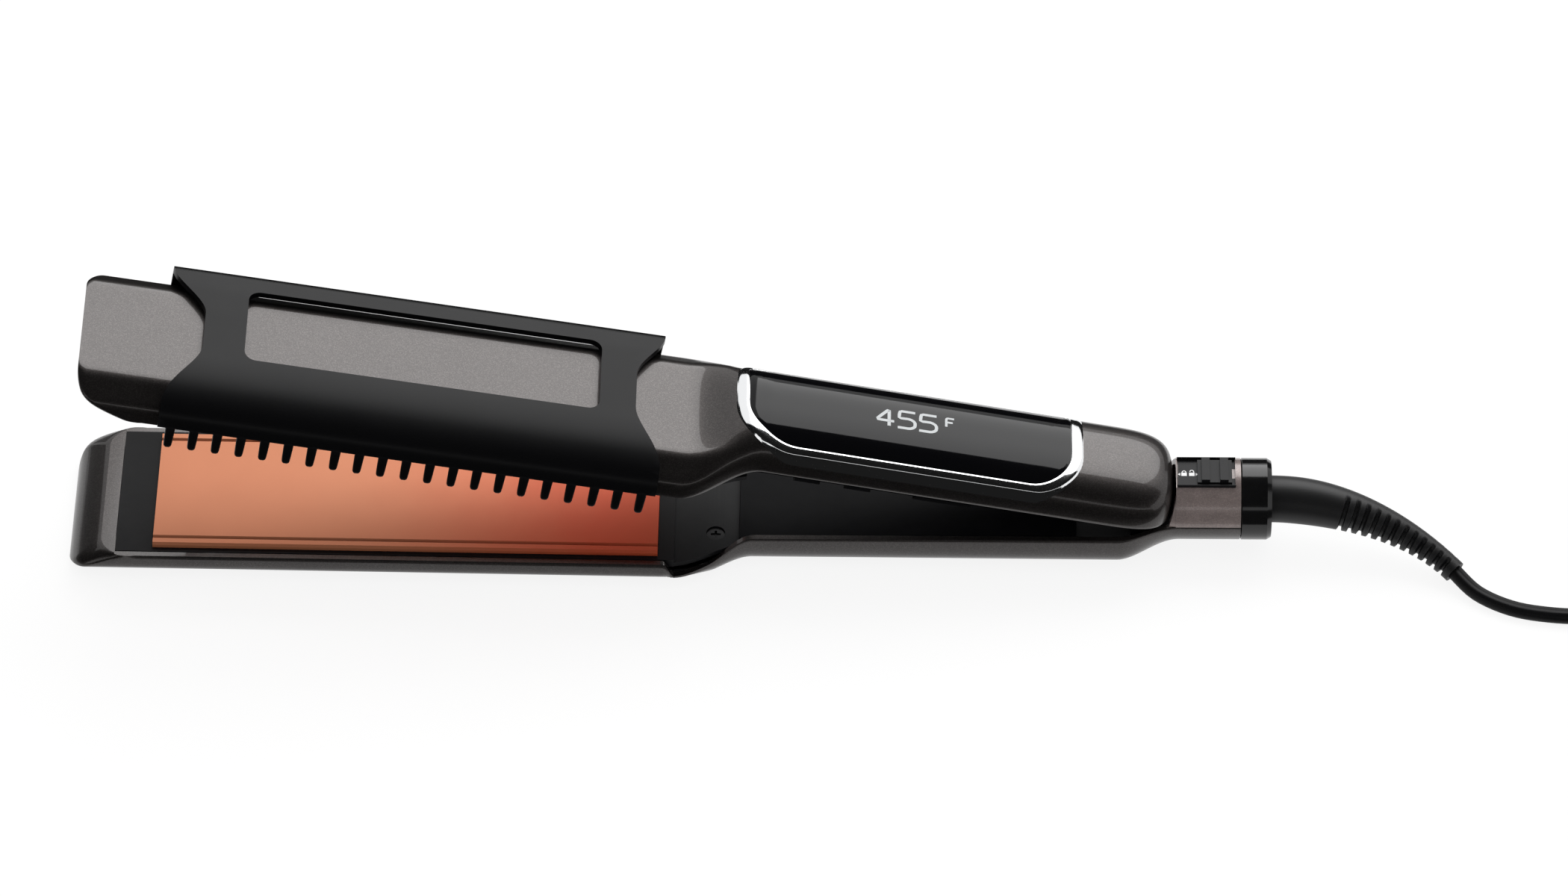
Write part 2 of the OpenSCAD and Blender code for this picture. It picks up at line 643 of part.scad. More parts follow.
function inward(path, k, t) =
    let (d = unit(path[min(k + 1, len(path) - 1)] - path[max(k - 1, 0)])) path[k] + t * [-d[1], d[0]];

// How far the cover's ends are hollowed at a distance across it
function scallop(y) = 8.5 * smooth(-comb_side + 3, -4, y) * (1 - smooth(7, comb_side - 3, y));

comb_steps = 10;
comb_columns = [for (c = [0:comb_steps]) let (t = c / comb_steps) [for (half = [0, 1])
    [for (k = [0:len(comb_path) - 1]) let (p = half == 0 ? comb_path[k] : inward(comb_path, k, comb_wall),
        s = scallop(comb_path[k][0]))
        [mix(comb_start + s, comb_end - s * 0.8, t), p[0], plane_z + p[1]]]]];

window_cut_start = comb_start + 24.5;
window_cut_end = comb_end - 18;

// The teeth stand on a strip that is welded under the cover's near edge.
tooth_w = 1.7;
strip_h = 1;
strip_top = comb_low - 0.2;
tooth_low = strip_top - strip_h - tooth_l;
tooth_end = [[-1, 0.9], [-0.72, 0.3], [-0.3, 0], [0.3, 0], [0.72, 0.3], [1, 0.9]];

module comb_teeth() {
    first = comb_start + 1.9;
    last = comb_end - 1.9;
    color([0.05, 0.05, 0.05]) swing() translate([0, -comb_side + comb_wall - 0.05, plane_z])
        rotate([90, 0, 0]) linear_extrude(comb_wall - 0.1)
            polygon(concat([[last + 1.2, strip_top], [first - 1.2, strip_top], [first - 1.2, strip_top - strip_h]],
                joined([for (k = [0:teeth - 1]) let (u = mix(first, last, k / (teeth - 1))) concat(
                    [[u - tooth_w / 2, strip_top - strip_h]],
                    [for (p = tooth_end) [u + p[0] * tooth_w * 0.36, tooth_low + p[1]]],
                    [[u + tooth_w / 2, strip_top - strip_h]])]),
                [[last + 1.2, strip_top - strip_h]]));
}

module comb_cover() {
    color([0.05, 0.05, 0.05]) swing() difference() {
        union() {
            loft([for (c = comb_columns) concat(c[0], turned(c[1]))]);
            for (u = [window_cut_start - 6, window_cut_end + 3], y = [-5, 3])
                translate([u, y, 2 * plane_z]) cube([3, 3, comb_lift + 0.4]);
        }
        hull() for (u = [window_cut_start + 3, window_cut_end - 3], y = [-6.4, flat_w / 2 - 3.4])
            translate([u, y, plane_z + plane_z - 3]) cylinder(r = 3, h = 12, $fn = 24);
        translate([comb_start + 5.5, comb_side - 7, plane_z - 2])
            cube([comb_end - comb_start - 11, 12, comb_top - 2.4]);
    }
}

// ---- Cord ----

axis_end = [collar_end + 0.05, 0, plane_z + (collar_end - neck_start) * rise_slope];
boot_line_ends = [axis_end, axis_end + [16, 0, 0.28], [collar_end + 34, -4, 8], [collar_end + 45, -14.4, 3.4]];
function bezier(p, t) = pow(1 - t, 3) * p[0] + 3 * pow(1 - t, 2) * t * p[1]
    + 3 * (1 - t) * pow(t, 2) * p[2] + pow(t, 3) * p[3];
ribs = 12;
rib_from = 0.3;
boot_marks = concat([0, 0.12, 0.22], joined([for (k = [0:ribs - 1])
    let (a = mix(rib_from, 0.98, k / ribs), s = 0.68 / ribs) [a, a + s * 0.08, a + s * 0.5, a + s * 0.58]]), [1]);
function boot_r(t) = mix(5.75, 2.9, smooth(0.1, 1, t));
function rib_cut(k) = k < 3 || k >= 3 + 4 * ribs ? 0 : ((k - 3) % 4 == 1 || (k - 3) % 4 == 2 ? 0.85 : 0);

module strain_relief() {
    line = [for (t = boot_marks) bezier(boot_line_ends, t)];
    color([0.04, 0.04, 0.04]) place() tube([for (k = [0:len(line) - 1])
        let (dir = k == 0 ? boot_line_ends[1] - boot_line_ends[0] : heading(line, k))
        ring_at(line[k], dir, boot_r(boot_marks[k]) - rib_cut(k), 12, [0, 0, 1])]);
}

cord_r = cord_d / 2;
rest_z = cord_r - cord_d / 10;
boot_tip = bezier(boot_line_ends, 1);
// Where the cord runs on the surface, measured from the tip of the iron; hand-set
cord_route = [[344, -20, 1.9], [352, -24.5, 1.6], [361, -26.5, 1.6], [372, -27, 1.6], [392, -27, 1.6],
              [406, -27, 1.6]];
// Cuts a tube flat where it rests.
function rested(rings) = [for (r = rings) [for (p = r) [p[0], p[1], max(0, p[2])]]];

function curve_at(p, i, t) =
    let (a = p[max(i - 1, 0)], b = p[i], c = p[i + 1], d = p[min(i + 2, len(p) - 1)])
    0.5 * (2 * b + (c - a) * t + (2 * a - 5 * b + 4 * c - d) * t * t + (3 * b - a - 3 * c + d) * t * t * t);
function along(p, steps) = concat(
    [for (i = [0:len(p) - 2]) for (k = [0:steps - 1]) curve_at(p, i, k / steps)], [p[len(p) - 1]]);

module run(points, sides) {
    line = along(points, 2);
    tube(rested([for (k = [0:len(line) - 1]) ring_at(line[k], heading(line, k), cord_r, sides, [0, 0, 1])]));
}

// The coil spirals in and out again in four layers.
coil_layers = 4;
coil_x = 410;
coil_out = 30;
coil_pitch = cord_d + 0.75;
coil_rise = cord_d + 0.55;
turns_in_layer = coil_loops / coil_layers;
cord_side = cord_route[len(cord_route) - 1][1];
coil_y = cord_side + coil_out;
function coil_radius(t) =
    let (layer = floor(t / turns_in_layer), f = t - layer * turns_in_layer)
    coil_out - coil_pitch * (layer % 2 == 0 ? f : turns_in_layer - f);
function coil_height(t) = let (layer = floor((t + 0.25) / turns_in_layer),
    f = (t + 0.25 - layer * turns_in_layer) / 0.5)
    rest_z + coil_rise * (t < 0.3 ? 0 : t > coil_loops - 0.3 ? coil_layers - 1
        : f < 1 && layer > 0 ? layer - 1 + f : layer);
coil_line = concat([[coil_x - cord_d, cord_side, rest_z]],
    [for (k = [0:24 * coil_loops]) let (t = k / 24, a = -90 + 360 * t)
        [coil_x + coil_radius(t) * cos(a), coil_y + coil_radius(t) * sin(a), coil_height(t)]]);
coil_gap = min([for (i = [0:len(coil_line) - 1]) for (j = [i + 14:len(coil_line) - 1])
    norm(coil_line[i] - coil_line[j])]) - cord_d;
echo(coil_gap = coil_gap);

// From the top of the coil it goes on round it, then turns in over it to the plug.
plug_l = 30;
plug_w = 24;
plug_half = 8;
blade_l = 16;
turn_in = 16;
coil_end = coil_line[len(coil_line) - 1];
tail_climb = cord_r + plug_half + 0.3;
function tail_height(s) = coil_end[2] + tail_climb * smooth(0, 1, s);
tail_route = concat(
    [for (k = [0:5]) let (a = -90 + max(0.8, 18 * k))
        [coil_x + coil_out * cos(a), coil_y + coil_out * sin(a), tail_height(k / 10)]],
    [for (k = [1:5]) let (a = 18 * k)
        [coil_x + coil_out - turn_in + turn_in * cos(a), coil_y + turn_in * sin(a), tail_height(0.5 + k / 10)]],
    [[coil_x + coil_out - turn_in - 3, coil_y + turn_in, coil_end[2] + tail_climb]]);

module cord() {
    color([0.04, 0.04, 0.04]) place() run(concat([boot_tip], cord_route), 8);
}

module cord_coil() {
    color([0.04, 0.04, 0.04]) place()
        tube(rested([for (k = [0:len(coil_line) - 1])
            ring_at(coil_line[k], heading(coil_line, k), cord_r, 6, [0, 0, 1])]));
}

module cord_tail() {
    color([0.04, 0.04, 0.04]) place() run(tail_route, 8);
}

// Moves to the cord's end with X across the plug and Z along it, towards its blades.
module on_plug() {
    place() translate(tail_route[len(tail_route) - 1]) rotate([0, -90, 0]) rotate([0, 0, 90]) children();
}

// Moulded body: a round neck that widens into a flat grip.
module plug_body() {
    color([0.04, 0.04, 0.04]) on_plug() hull() {
        cylinder(d = 8, h = 1, $fn = 24);
        translate([0, 0, plug_l - 4])
            for (x = [-1, 1], y = [-1, 1]) translate([x * (plug_w / 2 - 3), y * (plug_half - 3), 0])
                cylinder(r = 3, h = 4, $fn = 16);
        translate([0, 0, plug_l * 0.55]) scale([plug_w / 2, plug_half - 1.2, 1]) cylinder(r = 1, h = 1, $fn = 24);
    }
}

// Two flat blades, each with its hole.
module plug_blades() {
    color([0.75, 0.72, 0.6]) on_plug() for (side = [-1, 1]) translate([side * 6.35, 0, plug_l]) difference() {
        translate([-0.75, -3.15, 0]) cube([1.5, 6.3, blade_l]);
        translate([0, 0, blade_l - 4.5]) rotate([0, 90, 0]) cylinder(d = 3.2, h = 4, center = true, $fn = 32);
    }
}

lower_casing();
lower_plate_carrier();
lower_plate();
lower_heater();
lower_plate_pads();
lower_handle_cover();
carrier_screws();
barrel_cover();
lock_slider();
end_collar();
hinge_fork();
hinge_pin();
hinge_spring();
upper_casing();
upper_plate_carrier();
upper_plate();
upper_heater();
upper_plate_pads();
upper_handle_cover();
hinge_knuckle();
bezel_ring();
display_window();
display_module();
control_board();
button_minus();
button_plus();
button_power();
comb_cover();
comb_teeth();
swivel_sleeve();
strain_relief();
cord();
cord_coil();
cord_tail();
plug_body();
plug_blades();
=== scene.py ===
import bpy, bmesh, math
from mathutils import Vector, Matrix


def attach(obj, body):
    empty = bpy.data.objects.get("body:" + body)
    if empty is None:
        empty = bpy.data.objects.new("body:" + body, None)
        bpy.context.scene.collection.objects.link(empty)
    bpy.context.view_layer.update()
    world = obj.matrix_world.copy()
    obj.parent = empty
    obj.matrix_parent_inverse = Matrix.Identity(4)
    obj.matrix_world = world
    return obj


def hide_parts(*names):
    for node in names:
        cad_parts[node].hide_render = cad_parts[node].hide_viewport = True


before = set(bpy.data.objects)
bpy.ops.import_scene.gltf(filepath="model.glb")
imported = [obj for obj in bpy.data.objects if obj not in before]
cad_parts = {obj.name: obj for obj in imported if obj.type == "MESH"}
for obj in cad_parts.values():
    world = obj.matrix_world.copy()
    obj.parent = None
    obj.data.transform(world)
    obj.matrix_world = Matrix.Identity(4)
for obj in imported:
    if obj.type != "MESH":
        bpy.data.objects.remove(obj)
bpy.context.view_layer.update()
mm = 0.001
pi = math.pi

# sizes shared with the solids, in millimetres from the iron's tip
iron = {"plateLength": 123, "armWidth": 44, "armHeight": 10.3, "flatWidth": 31, "bevel": 4.3, "wall": 1.5,
        "nose": 21, "noseLean": 8.2, "neck": 19, "handle": 95, "handleWidth": 29.4, "crown": 10, "crownPower": 2.9,
        "corner": (2.4, 6.4), "rise": 1, "fall": 1.2, "open": 10, "barrel": 19.9, "barrelLength": 15.8,
        "collar": 7.6, "plateGap": 0.5, "window": 84, "rim": 1.7, "domeLength": 20, "domePowers": (4.2, 4.6)}
plateEnd = iron["nose"] + iron["plateLength"]
neckStart = plateEnd + 4
neckEnd = neckStart + iron["neck"]
hingeU = neckEnd + iron["handle"]
domeEnd = hingeU + 6.1
tailStart = hingeU - 6
barrelStart = hingeU + 8.2
barrelEnd = barrelStart + iron["barrelLength"]
collarEnd = barrelEnd + iron["collar"]
carrierStart = iron["nose"] - 9.2
originU = iron["nose"] + iron["plateLength"] / 2
planeZ = iron["armHeight"] + iron["plateGap"] / 2
riseSlope = math.tan(math.radians(iron["rise"]))
hingeZ = planeZ + (hingeU - neckStart) * riseSlope
windowStart = neckEnd - 7
windowEnd = windowStart + iron["window"]
windowHalf = iron["handleWidth"] / 2 * 0.955


def mix(a, b, t):
    return a * (1 - t) + b * t


def smooth(a, b, x):
    t = max(0.0, min(1.0, (x - a) / (b - a)))
    return t * t * (3 - 2 * t)


def placed(u, y, z):  # a point of the lower arm, in metres in the row frame
    return Vector((u - originU, y, z)) * mm


openTurn = math.radians(iron["open"])


def swung(u, y, z):  # a point of the upper arm, drawn shut and swung open
    x, h = u - hingeU, z - hingeZ
    return placed(hingeU + x * math.cos(openTurn) + h * math.sin(openTurn), y,
                  hingeZ - x * math.sin(openTurn) + h * math.cos(openTurn))


def addMath(tree, kind, a, b):
    node = tree.nodes.new("ShaderNodeMath")
    node.operation = kind
    for i, v in enumerate((a, b)):
        if isinstance(v, bpy.types.NodeSocket):
            tree.links.new(v, node.inputs[i])
        else:
            node.inputs[i].default_value = v
    return node.outputs[0]


def seenRay(tree):  # 1 for a ray from the camera, a reflection or a glass
    path = tree.nodes.new("ShaderNodeLightPath")
    plain = addMath(tree, "MAXIMUM", path.outputs["Is Camera Ray"], path.outputs["Is Glossy Ray"])
    return addMath(tree, "MAXIMUM", plain, path.outputs["Is Transmission Ray"])


# camera and light
view = {"elevation": 45.52, "azimuth": 0.404, "roll": 0.71, "across": 91.84, "up": 19.07,
        "distance": 2060, "lens": 192.38}


def addCamera():
    e, a, r = (math.radians(view[k]) for k in ("elevation", "azimuth", "roll"))
    back = Vector((math.cos(e) * math.sin(a), -math.cos(e) * math.cos(a), math.sin(e)))
    right = Vector((math.cos(a), math.sin(a), 0))
    up = back.cross(right)
    turned = right * math.cos(r) + up * math.sin(r)
    upright = up * math.cos(r) - right * math.sin(r)
    data = bpy.data.cameras.new("camera")
    data.lens, data.sensor_width, data.clip_end = view["lens"], 36, 50
    cam = bpy.data.objects.new("camera", data)
    bpy.context.collection.objects.link(cam)
    place = (right * view["across"] + up * view["up"] + back * view["distance"]) * mm
    cam.matrix_world = Matrix.Translation(place) @ Matrix((turned, upright, back)).transposed().to_4x4()
    bpy.context.scene.camera = cam


lamp = {"spot": (0.44, 1.0, 1.1), "aim": (0.08, 0, 0.02), "size": (1.32, 1.3), "power": 18}
worldLight = {"onObject": 0.8, "seen": 1.0}
# dark cards, each from its lowest to its highest corner; a slot is left open between the two in front
darkCards = {"overhead": ((-1.6, -2.1, 1.3), (2.5, 0.5, 1.3)),
             "leftWall": ((-1.6, -1.0, 0.05), (-1.6, 1.8, 1.3)),
             "frontLow": ((-1.6, -2.1, -0.01), (2.5, -2.1, 0.5)),
             "frontHigh": ((-1.6, -2.1, 0.85), (2.5, -2.1, 1.3)),
             "floorFront": ((-1.6, -2.1, 0.0012), (2.5, -0.03, 0.0012)),
             "floorBack": ((-1.6, 0.1, 0.0012), (2.5, 2.2, 0.0012)),
             "backLow": ((-1.6, 2.2, 0.0012), (2.5, 2.2, 0.6))}


def addLight(name, spot, aim, size, power):
    data = bpy.data.lights.new(name, "AREA")
    data.shape, data.size, data.size_y, data.energy = "RECTANGLE", size[0], size[1], power
    box = bpy.data.objects.new(name, data)
    bpy.context.collection.objects.link(box)
    box.location = spot
    box.rotation_euler = (Vector(aim) - Vector(spot)).to_track_quat("-Z", "Y").to_euler()


def addWorld():
    world = bpy.data.worlds.new("studio")
    bpy.context.scene.world = world
    world.use_nodes = True
    tree = world.node_tree
    back = tree.nodes["Background"]
    strength = tree.nodes.new("ShaderNodeMapRange")
    strength.inputs["To Min"].default_value = worldLight["onObject"]
    strength.inputs["To Max"].default_value = worldLight["seen"]
    tree.links.new(seenRay(tree), strength.inputs["Value"])
    tree.links.new(strength.outputs[0], back.inputs["Strength"])
    back.inputs["Color"].default_value = (1, 1, 1, 1)


def cardCorners(low, high):
    a, b = [i for i in range(3) if low[i] != high[i]]
    corners = []
    for first, second in ((low, low), (high, low), (high, high), (low, high)):
        corner = list(low)
        corner[a], corner[b] = first[a], second[b]
        corners.append(tuple(corner))
    return corners


def addFlag():  # the cards are seen only in gloss
    mesh = bpy.data.meshes.new("topFlag")
    corners, faces = [], []
    for low, high in darkCards.values():
        faces.append(tuple(range(len(corners), len(corners) + 4)))
        corners += cardCorners(low, high)
    mesh.from_pydata(corners, [], faces)
    card = bpy.data.objects.new("topFlag", mesh)
    bpy.context.collection.objects.link(card)
    material = bpy.data.materials.new("blackCard")
    material.use_nodes = True
    shader = material.node_tree.nodes["Principled BSDF"]
    shader.inputs["Base Color"].default_value = (0.01, 0.01, 0.01, 1)
    shader.inputs["Specular IOR Level"].default_value = 0
    mesh.materials.append(material)
    card.visible_camera = card.visible_diffuse = card.visible_shadow = card.visible_transmission = False


addCamera()
addWorld()
addLight("backBox", lamp["spot"], lamp["aim"], lamp["size"], lamp["power"])
addFlag()
bpy.context.scene.view_settings.view_transform = "Standard"
print("stage: camera and light")

# shader groups


def newGroup(name, inputs, outputs):
    group = bpy.data.node_groups.new(name, "ShaderNodeTree")
    for label, kind, value in inputs:
        socket = group.interface.new_socket(label, in_out="INPUT", socket_type=kind)
        socket.default_value = value
    for label, kind in outputs:
        group.interface.new_socket(label, in_out="OUTPUT", socket_type=kind)
    return group, group.nodes.new("NodeGroupInput"), group.nodes.new("NodeGroupOutput")


def addNoise(tree, vector, scale, detail=3, rough=0.55):
    node = tree.nodes.new("ShaderNodeTexNoise")
    tree.links.new(vector, node.inputs["Vector"])
    if isinstance(scale, bpy.types.NodeSocket):
        tree.links.new(scale, node.inputs["Scale"])
    else:
        node.inputs["Scale"].default_value = scale
    node.inputs["Detail"].default_value = detail
    node.inputs["Roughness"].default_value = rough
    return node.outputs["Fac"]


def buildEdgeWear():  # where edges are rubbed and hollows hold a little dust
    group, a, b = newGroup("edgeWear", [("Amount", "NodeSocketFloat", 0.5), ("Scale", "NodeSocketFloat", 400.0)],
                           [("Wear", "NodeSocketFloat"), ("Dust", "NodeSocketFloat")])
    geo = group.nodes.new("ShaderNodeNewGeometry")
    coord = group.nodes.new("ShaderNodeTexCoord")
    ridge = group.nodes.new("ShaderNodeMapRange")
    ridge.inputs["From Min"].default_value, ridge.inputs["From Max"].default_value = 0.52, 0.6
    group.links.new(geo.outputs["Pointiness"], ridge.inputs["Value"])
    hollow = group.nodes.new("ShaderNodeMapRange")
    hollow.inputs["From Min"].default_value, hollow.inputs["From Max"].default_value = 0.49, 0.42
    group.links.new(geo.outputs["Pointiness"], hollow.inputs["Value"])
    patch = addNoise(group, coord.outputs["Object"], a.outputs["Scale"])
    wear = addMath(group, "MULTIPLY", addMath(group, "MULTIPLY", ridge.outputs[0], patch), a.outputs["Amount"])
    dust = addMath(group, "MULTIPLY", addMath(group, "MULTIPLY", hollow.outputs[0], patch), a.outputs["Amount"])
    group.links.new(wear, b.inputs["Wear"])
    group.links.new(dust, b.inputs["Dust"])
    return group


def buildGrain():  # fine moulded grain with wider handling marks
    group, a, b = newGroup("mouldGrain", [("Grain Scale", "NodeSocketFloat", 3000.0),
                                          ("Mark Scale", "NodeSocketFloat", 60.0)],
                           [("Height", "NodeSocketFloat"), ("Marks", "NodeSocketFloat")])
    coord = group.nodes.new("ShaderNodeTexCoord")
    fine = addNoise(group, coord.outputs["Object"], a.outputs["Grain Scale"], 2, 0.6)
    wide = addNoise(group, coord.outputs["Object"], a.outputs["Mark Scale"], 4, 0.6)
    group.links.new(fine, b.inputs["Height"])
    group.links.new(wide, b.inputs["Marks"])
    return group


def buildFlake():  # pearl flakes in a lacquer: small cells, each a little lighter or darker
    group, a, b = newGroup("pearlFlake", [("Colour", "NodeSocketColor", (0.1, 0.1, 0.1, 1)),
                                          ("Flake", "NodeSocketColor", (0.2, 0.2, 0.2, 1)),
                                          ("Scale", "NodeSocketFloat", 3500.0)],
                           [("Colour", "NodeSocketColor"), ("Sparkle", "NodeSocketFloat")])
    coord = group.nodes.new("ShaderNodeTexCoord")
    cells = group.nodes.new("ShaderNodeTexVoronoi")
    group.links.new(coord.outputs["Object"], cells.inputs["Vector"])
    group.links.new(a.outputs["Scale"], cells.inputs["Scale"])
    tone = group.nodes.new("ShaderNodeSeparateColor")
    group.links.new(cells.outputs["Color"], tone.inputs[0])
    power = addMath(group, "POWER", tone.outputs[0], 2.2)
    blend = group.nodes.new("ShaderNodeMix")
    blend.data_type = "RGBA"
    group.links.new(power, blend.inputs["Factor"])
    group.links.new(a.outputs["Colour"], blend.inputs["A"])
    group.links.new(a.outputs["Flake"], blend.inputs["B"])
    group.links.new(blend.outputs["Result"], b.inputs["Colour"])
    group.links.new(power, b.inputs["Sparkle"])
    return group


edgeWear, mouldGrain, pearlFlake = buildEdgeWear(), buildGrain(), buildFlake()


def addGroup(tree, group, **values):
    node = tree.nodes.new("ShaderNodeGroup")
    node.node_tree = group
    for label, value in values.items():
        node.inputs[label.replace("_", " ")].default_value = value
    return node


def newMaterial(name, metallic, coat=0.0, coatRough=0.1, specular=0.5):
    material = bpy.data.materials.new(name)
    material.use_nodes = True
    tree = material.node_tree
    shader = tree.nodes["Principled BSDF"]
    shader.inputs["Metallic"].default_value = metallic
    shader.inputs["Coat Weight"].default_value = coat
    shader.inputs["Coat Roughness"].default_value = coatRough
    shader.inputs["Specular IOR Level"].default_value = specular
    return material, tree, shader


def feedColour(tree, shader, base, worn, factor):
    blend = tree.nodes.new("ShaderNodeMix")
    blend.data_type = "RGBA"
    if isinstance(base, bpy.types.NodeSocket):
        tree.links.new(base, blend.inputs["A"])
    else:
        blend.inputs["A"].default_value = (*base, 1)
    blend.inputs["B"].default_value = (*worn, 1)
    tree.links.new(factor, blend.inputs["Factor"])
    tree.links.new(blend.outputs["Result"], shader.inputs["Base Color"])


def feedRough(tree, shader, value, low, high):
    span = tree.nodes.new("ShaderNodeMapRange")
    span.inputs["To Min"].default_value, span.inputs["To Max"].default_value = low, high
    tree.links.new(value, span.inputs["Value"])
    tree.links.new(span.outputs[0], shader.inputs["Roughness"])


def feedBump(tree, shader, height, strength, distance):
    bump = tree.nodes.new("ShaderNodeBump")
    bump.inputs["Strength"].default_value, bump.inputs["Distance"].default_value = strength, distance
    tree.links.new(height, bump.inputs["Height"])
    tree.links.new(bump.outputs["Normal"], shader.inputs["Normal"])


def lacquer(name, base, flake, rough=(0.3, 0.42), metallic=0.88):  # pearl lacquer under a clear coat
    material, tree, shader = newMaterial(name, metallic, 0.5, 0.05)
    flakes = addGroup(tree, pearlFlake, Colour=(*base, 1), Flake=(*flake, 1), Scale=5200)
    wear = addGroup(tree, edgeWear, Amount=0.25, Scale=250)
    grain = addGroup(tree, mouldGrain, Grain_Scale=1800, Mark_Scale=45)
    feedColour(tree, shader, flakes.outputs["Colour"], tuple(min(1, c * 2.2) for c in flake), wear.outputs["Wear"])
    feedRough(tree, shader, grain.outputs["Marks"], *rough)
    feedBump(tree, shader, flakes.outputs["Sparkle"], 0.05, 0.00004)
    return material


def moulded(name, base, rough=(0.42, 0.58), bump=0.12, worn=None, specular=0.5):  # plastic or rubber
    material, tree, shader = newMaterial(name, 0.0, 0.0, 0.15, specular)
    wear = addGroup(tree, edgeWear, Amount=0.5, Scale=300)
    grain = addGroup(tree, mouldGrain, Grain_Scale=2600, Mark_Scale=55)
    feedColour(tree, shader, base, worn or tuple(c * 2.4 + 0.004 for c in base), wear.outputs["Wear"])
    feedRough(tree, shader, grain.outputs["Marks"], *rough)
    feedBump(tree, shader, grain.outputs["Height"], bump, 0.00006)
    return material


def metal(name, base, rough, bump=0.02):
    material, tree, shader = newMaterial(name, 1.0, 0.0, 0.2)
    wear = addGroup(tree, edgeWear, Amount=0.4, Scale=500)
    grain = addGroup(tree, mouldGrain, Grain_Scale=900, Mark_Scale=40)
    feedColour(tree, shader, base, tuple(min(1, c * 1.2 + 0.05) for c in base), wear.outputs["Wear"])
    feedRough(tree, shader, grain.outputs["Marks"], *rough)
    feedBump(tree, shader, grain.outputs["Height"], bump, 0.00003)
    return material


def copper(name, litTipColour, deep):  # coated plate: paler at the tip as a painted highlight that fades to painted shade toward the hinge end, with faint drawn lines along it
    material, tree, shader = newMaterial(name, 0.45, 0.0, 0.25, 0.35)
    coord = tree.nodes.new("ShaderNodeTexCoord")
    apart = tree.nodes.new("ShaderNodeSeparateXYZ")
    tree.links.new(coord.outputs["Object"], apart.inputs[0])
    # where the painted highlight at the tip fades into painted shade along the plate
    along = tree.nodes.new("ShaderNodeMapRange")
    along.interpolation_type = "SMOOTHSTEP"
    along.inputs["From Min"].default_value, along.inputs["From Max"].default_value = -0.02, 0.062
    tree.links.new(apart.outputs["X"], along.inputs["Value"])
    grain = addGroup(tree, mouldGrain, Grain_Scale=1500, Mark_Scale=30)
    # painted shade deepens the colour toward the hinge end, streaked by the grain marks
    paintedFalloffAndMarks = addMath(tree, "MULTIPLY", along.outputs[0], addMath(tree, "ADD", grain.outputs["Marks"], 0.45))
    feedColour(tree, shader, litTipColour, deep, paintedFalloffAndMarks)
    feedRough(tree, shader, grain.outputs["Marks"], 0.34, 0.46)
    feedBump(tree, shader, grain.outputs["Height"], 0.05, 0.00003)
    return material


finishes = {
    "graphite": lacquer("graphiteLacquer", (0.036, 0.032, 0.031), (0.062, 0.056, 0.054)),
    "bronze": lacquer("bronzeLacquer", (0.13, 0.105, 0.1), (0.21, 0.17, 0.16), (0.3, 0.4), 0.35),
    "heatPlastic": moulded("heatPlastic", (0.004, 0.004, 0.0045), (0.38, 0.5), 0.1, specular=0.1),
    "combPlastic": moulded("combPlastic", (0.0022, 0.0022, 0.0026), (0.3, 0.38), 0.1, specular=0.13),
    "innerCover": moulded("innerCover", (0.002, 0.002, 0.0025), (0.3, 0.42), 0.05, specular=0.03),
    "glossBlack": moulded("glossBlack", (0.003, 0.003, 0.0032), (0.1, 0.16), 0.0, specular=0.4),
    "slideBlack": moulded("slideBlack", (0.004, 0.004, 0.0045), (0.28, 0.38), 0.05, specular=0.14),
    "window": moulded("windowPanel", (0.002, 0.002, 0.0025), (0.05, 0.09), 0.0, specular=0.2),
    # the first colour is the painted highlight at the tip, the second the painted shade toward the hinge end
    "copperPlate": copper("copperPlate", (0.42, 0.155, 0.076), (0.45, 0.07, 0.026)),
    "chrome": metal("brightRing", (0.86, 0.87, 0.88), (0.06, 0.12)),
    "steel": metal("steel", (0.35, 0.35, 0.36), (0.3, 0.45), 0.1),
    "brass": metal("plugBrass", (0.72, 0.58, 0.36), (0.18, 0.3)),
    "sheath": moulded("cordSheath", (0.0035, 0.0035, 0.004), (0.38, 0.5), 0.14, specular=0.14),
    "rubber": moulded("cordRubber", (0.006, 0.006, 0.0065), (0.4, 0.52), 0.14, specular=0.35),
    "ceramic": moulded("heaterCeramic", (0.72, 0.71, 0.66), (0.6, 0.75), 0.1, (0.5, 0.48, 0.44)),
    "silicone": moulded("padSilicone", (0.36, 0.07, 0.045), (0.5, 0.65), 0.1),
    "board": moulded("circuitBoard", (0.015, 0.12, 0.05), (0.3, 0.45), 0.05),
    "print": moulded("greyPrint", (0.5, 0.52, 0.53), (0.5, 0.6), 0.02),
    "whitePrint": moulded("whitePrint", (0.8, 0.8, 0.8), (0.5, 0.6), 0.02),
}
print("stage: materials")

# mesh helpers


def addPiece(name, verts, faces, finish, body, nodes=(), angle=35):
    mesh = bpy.data.meshes.new(name)
    mesh.from_pydata([tuple(v) for v in verts], [], faces)
    mesh.validate()
    piece = bpy.data.objects.new(name, mesh)
    bpy.context.collection.objects.link(piece)
    weld = piece.modifiers.new("weld", "WELD")
    weld.merge_threshold = 0.000004
    apply(piece)
    mesh = piece.data
    fixNormals(mesh)
    mesh.shade_smooth()
    mesh.set_sharp_from_angle(angle=math.radians(angle))
    mesh.materials.append(finishes[finish])
    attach(piece, body)
    if nodes:
        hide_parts(*nodes)
    return piece


def apply(piece):
    shown = piece.evaluated_get(bpy.context.evaluated_depsgraph_get())
    mesh = bpy.data.meshes.new_from_object(shown)
    piece.modifiers.clear()
    piece.data = mesh


def fixNormals(mesh):
    work = bmesh.new()
    work.from_mesh(mesh)
    bmesh.ops.recalc_face_normals(work, faces=work.faces)
    work.to_mesh(mesh)
    work.free()


def sideFaces(count, n):  # quads between rings of n points
    return [(i * n + k, i * n + (k + 1) % n, (i + 1) * n + (k + 1) % n, (i + 1) * n + k)
            for i in range(count - 1) for k in range(n)]


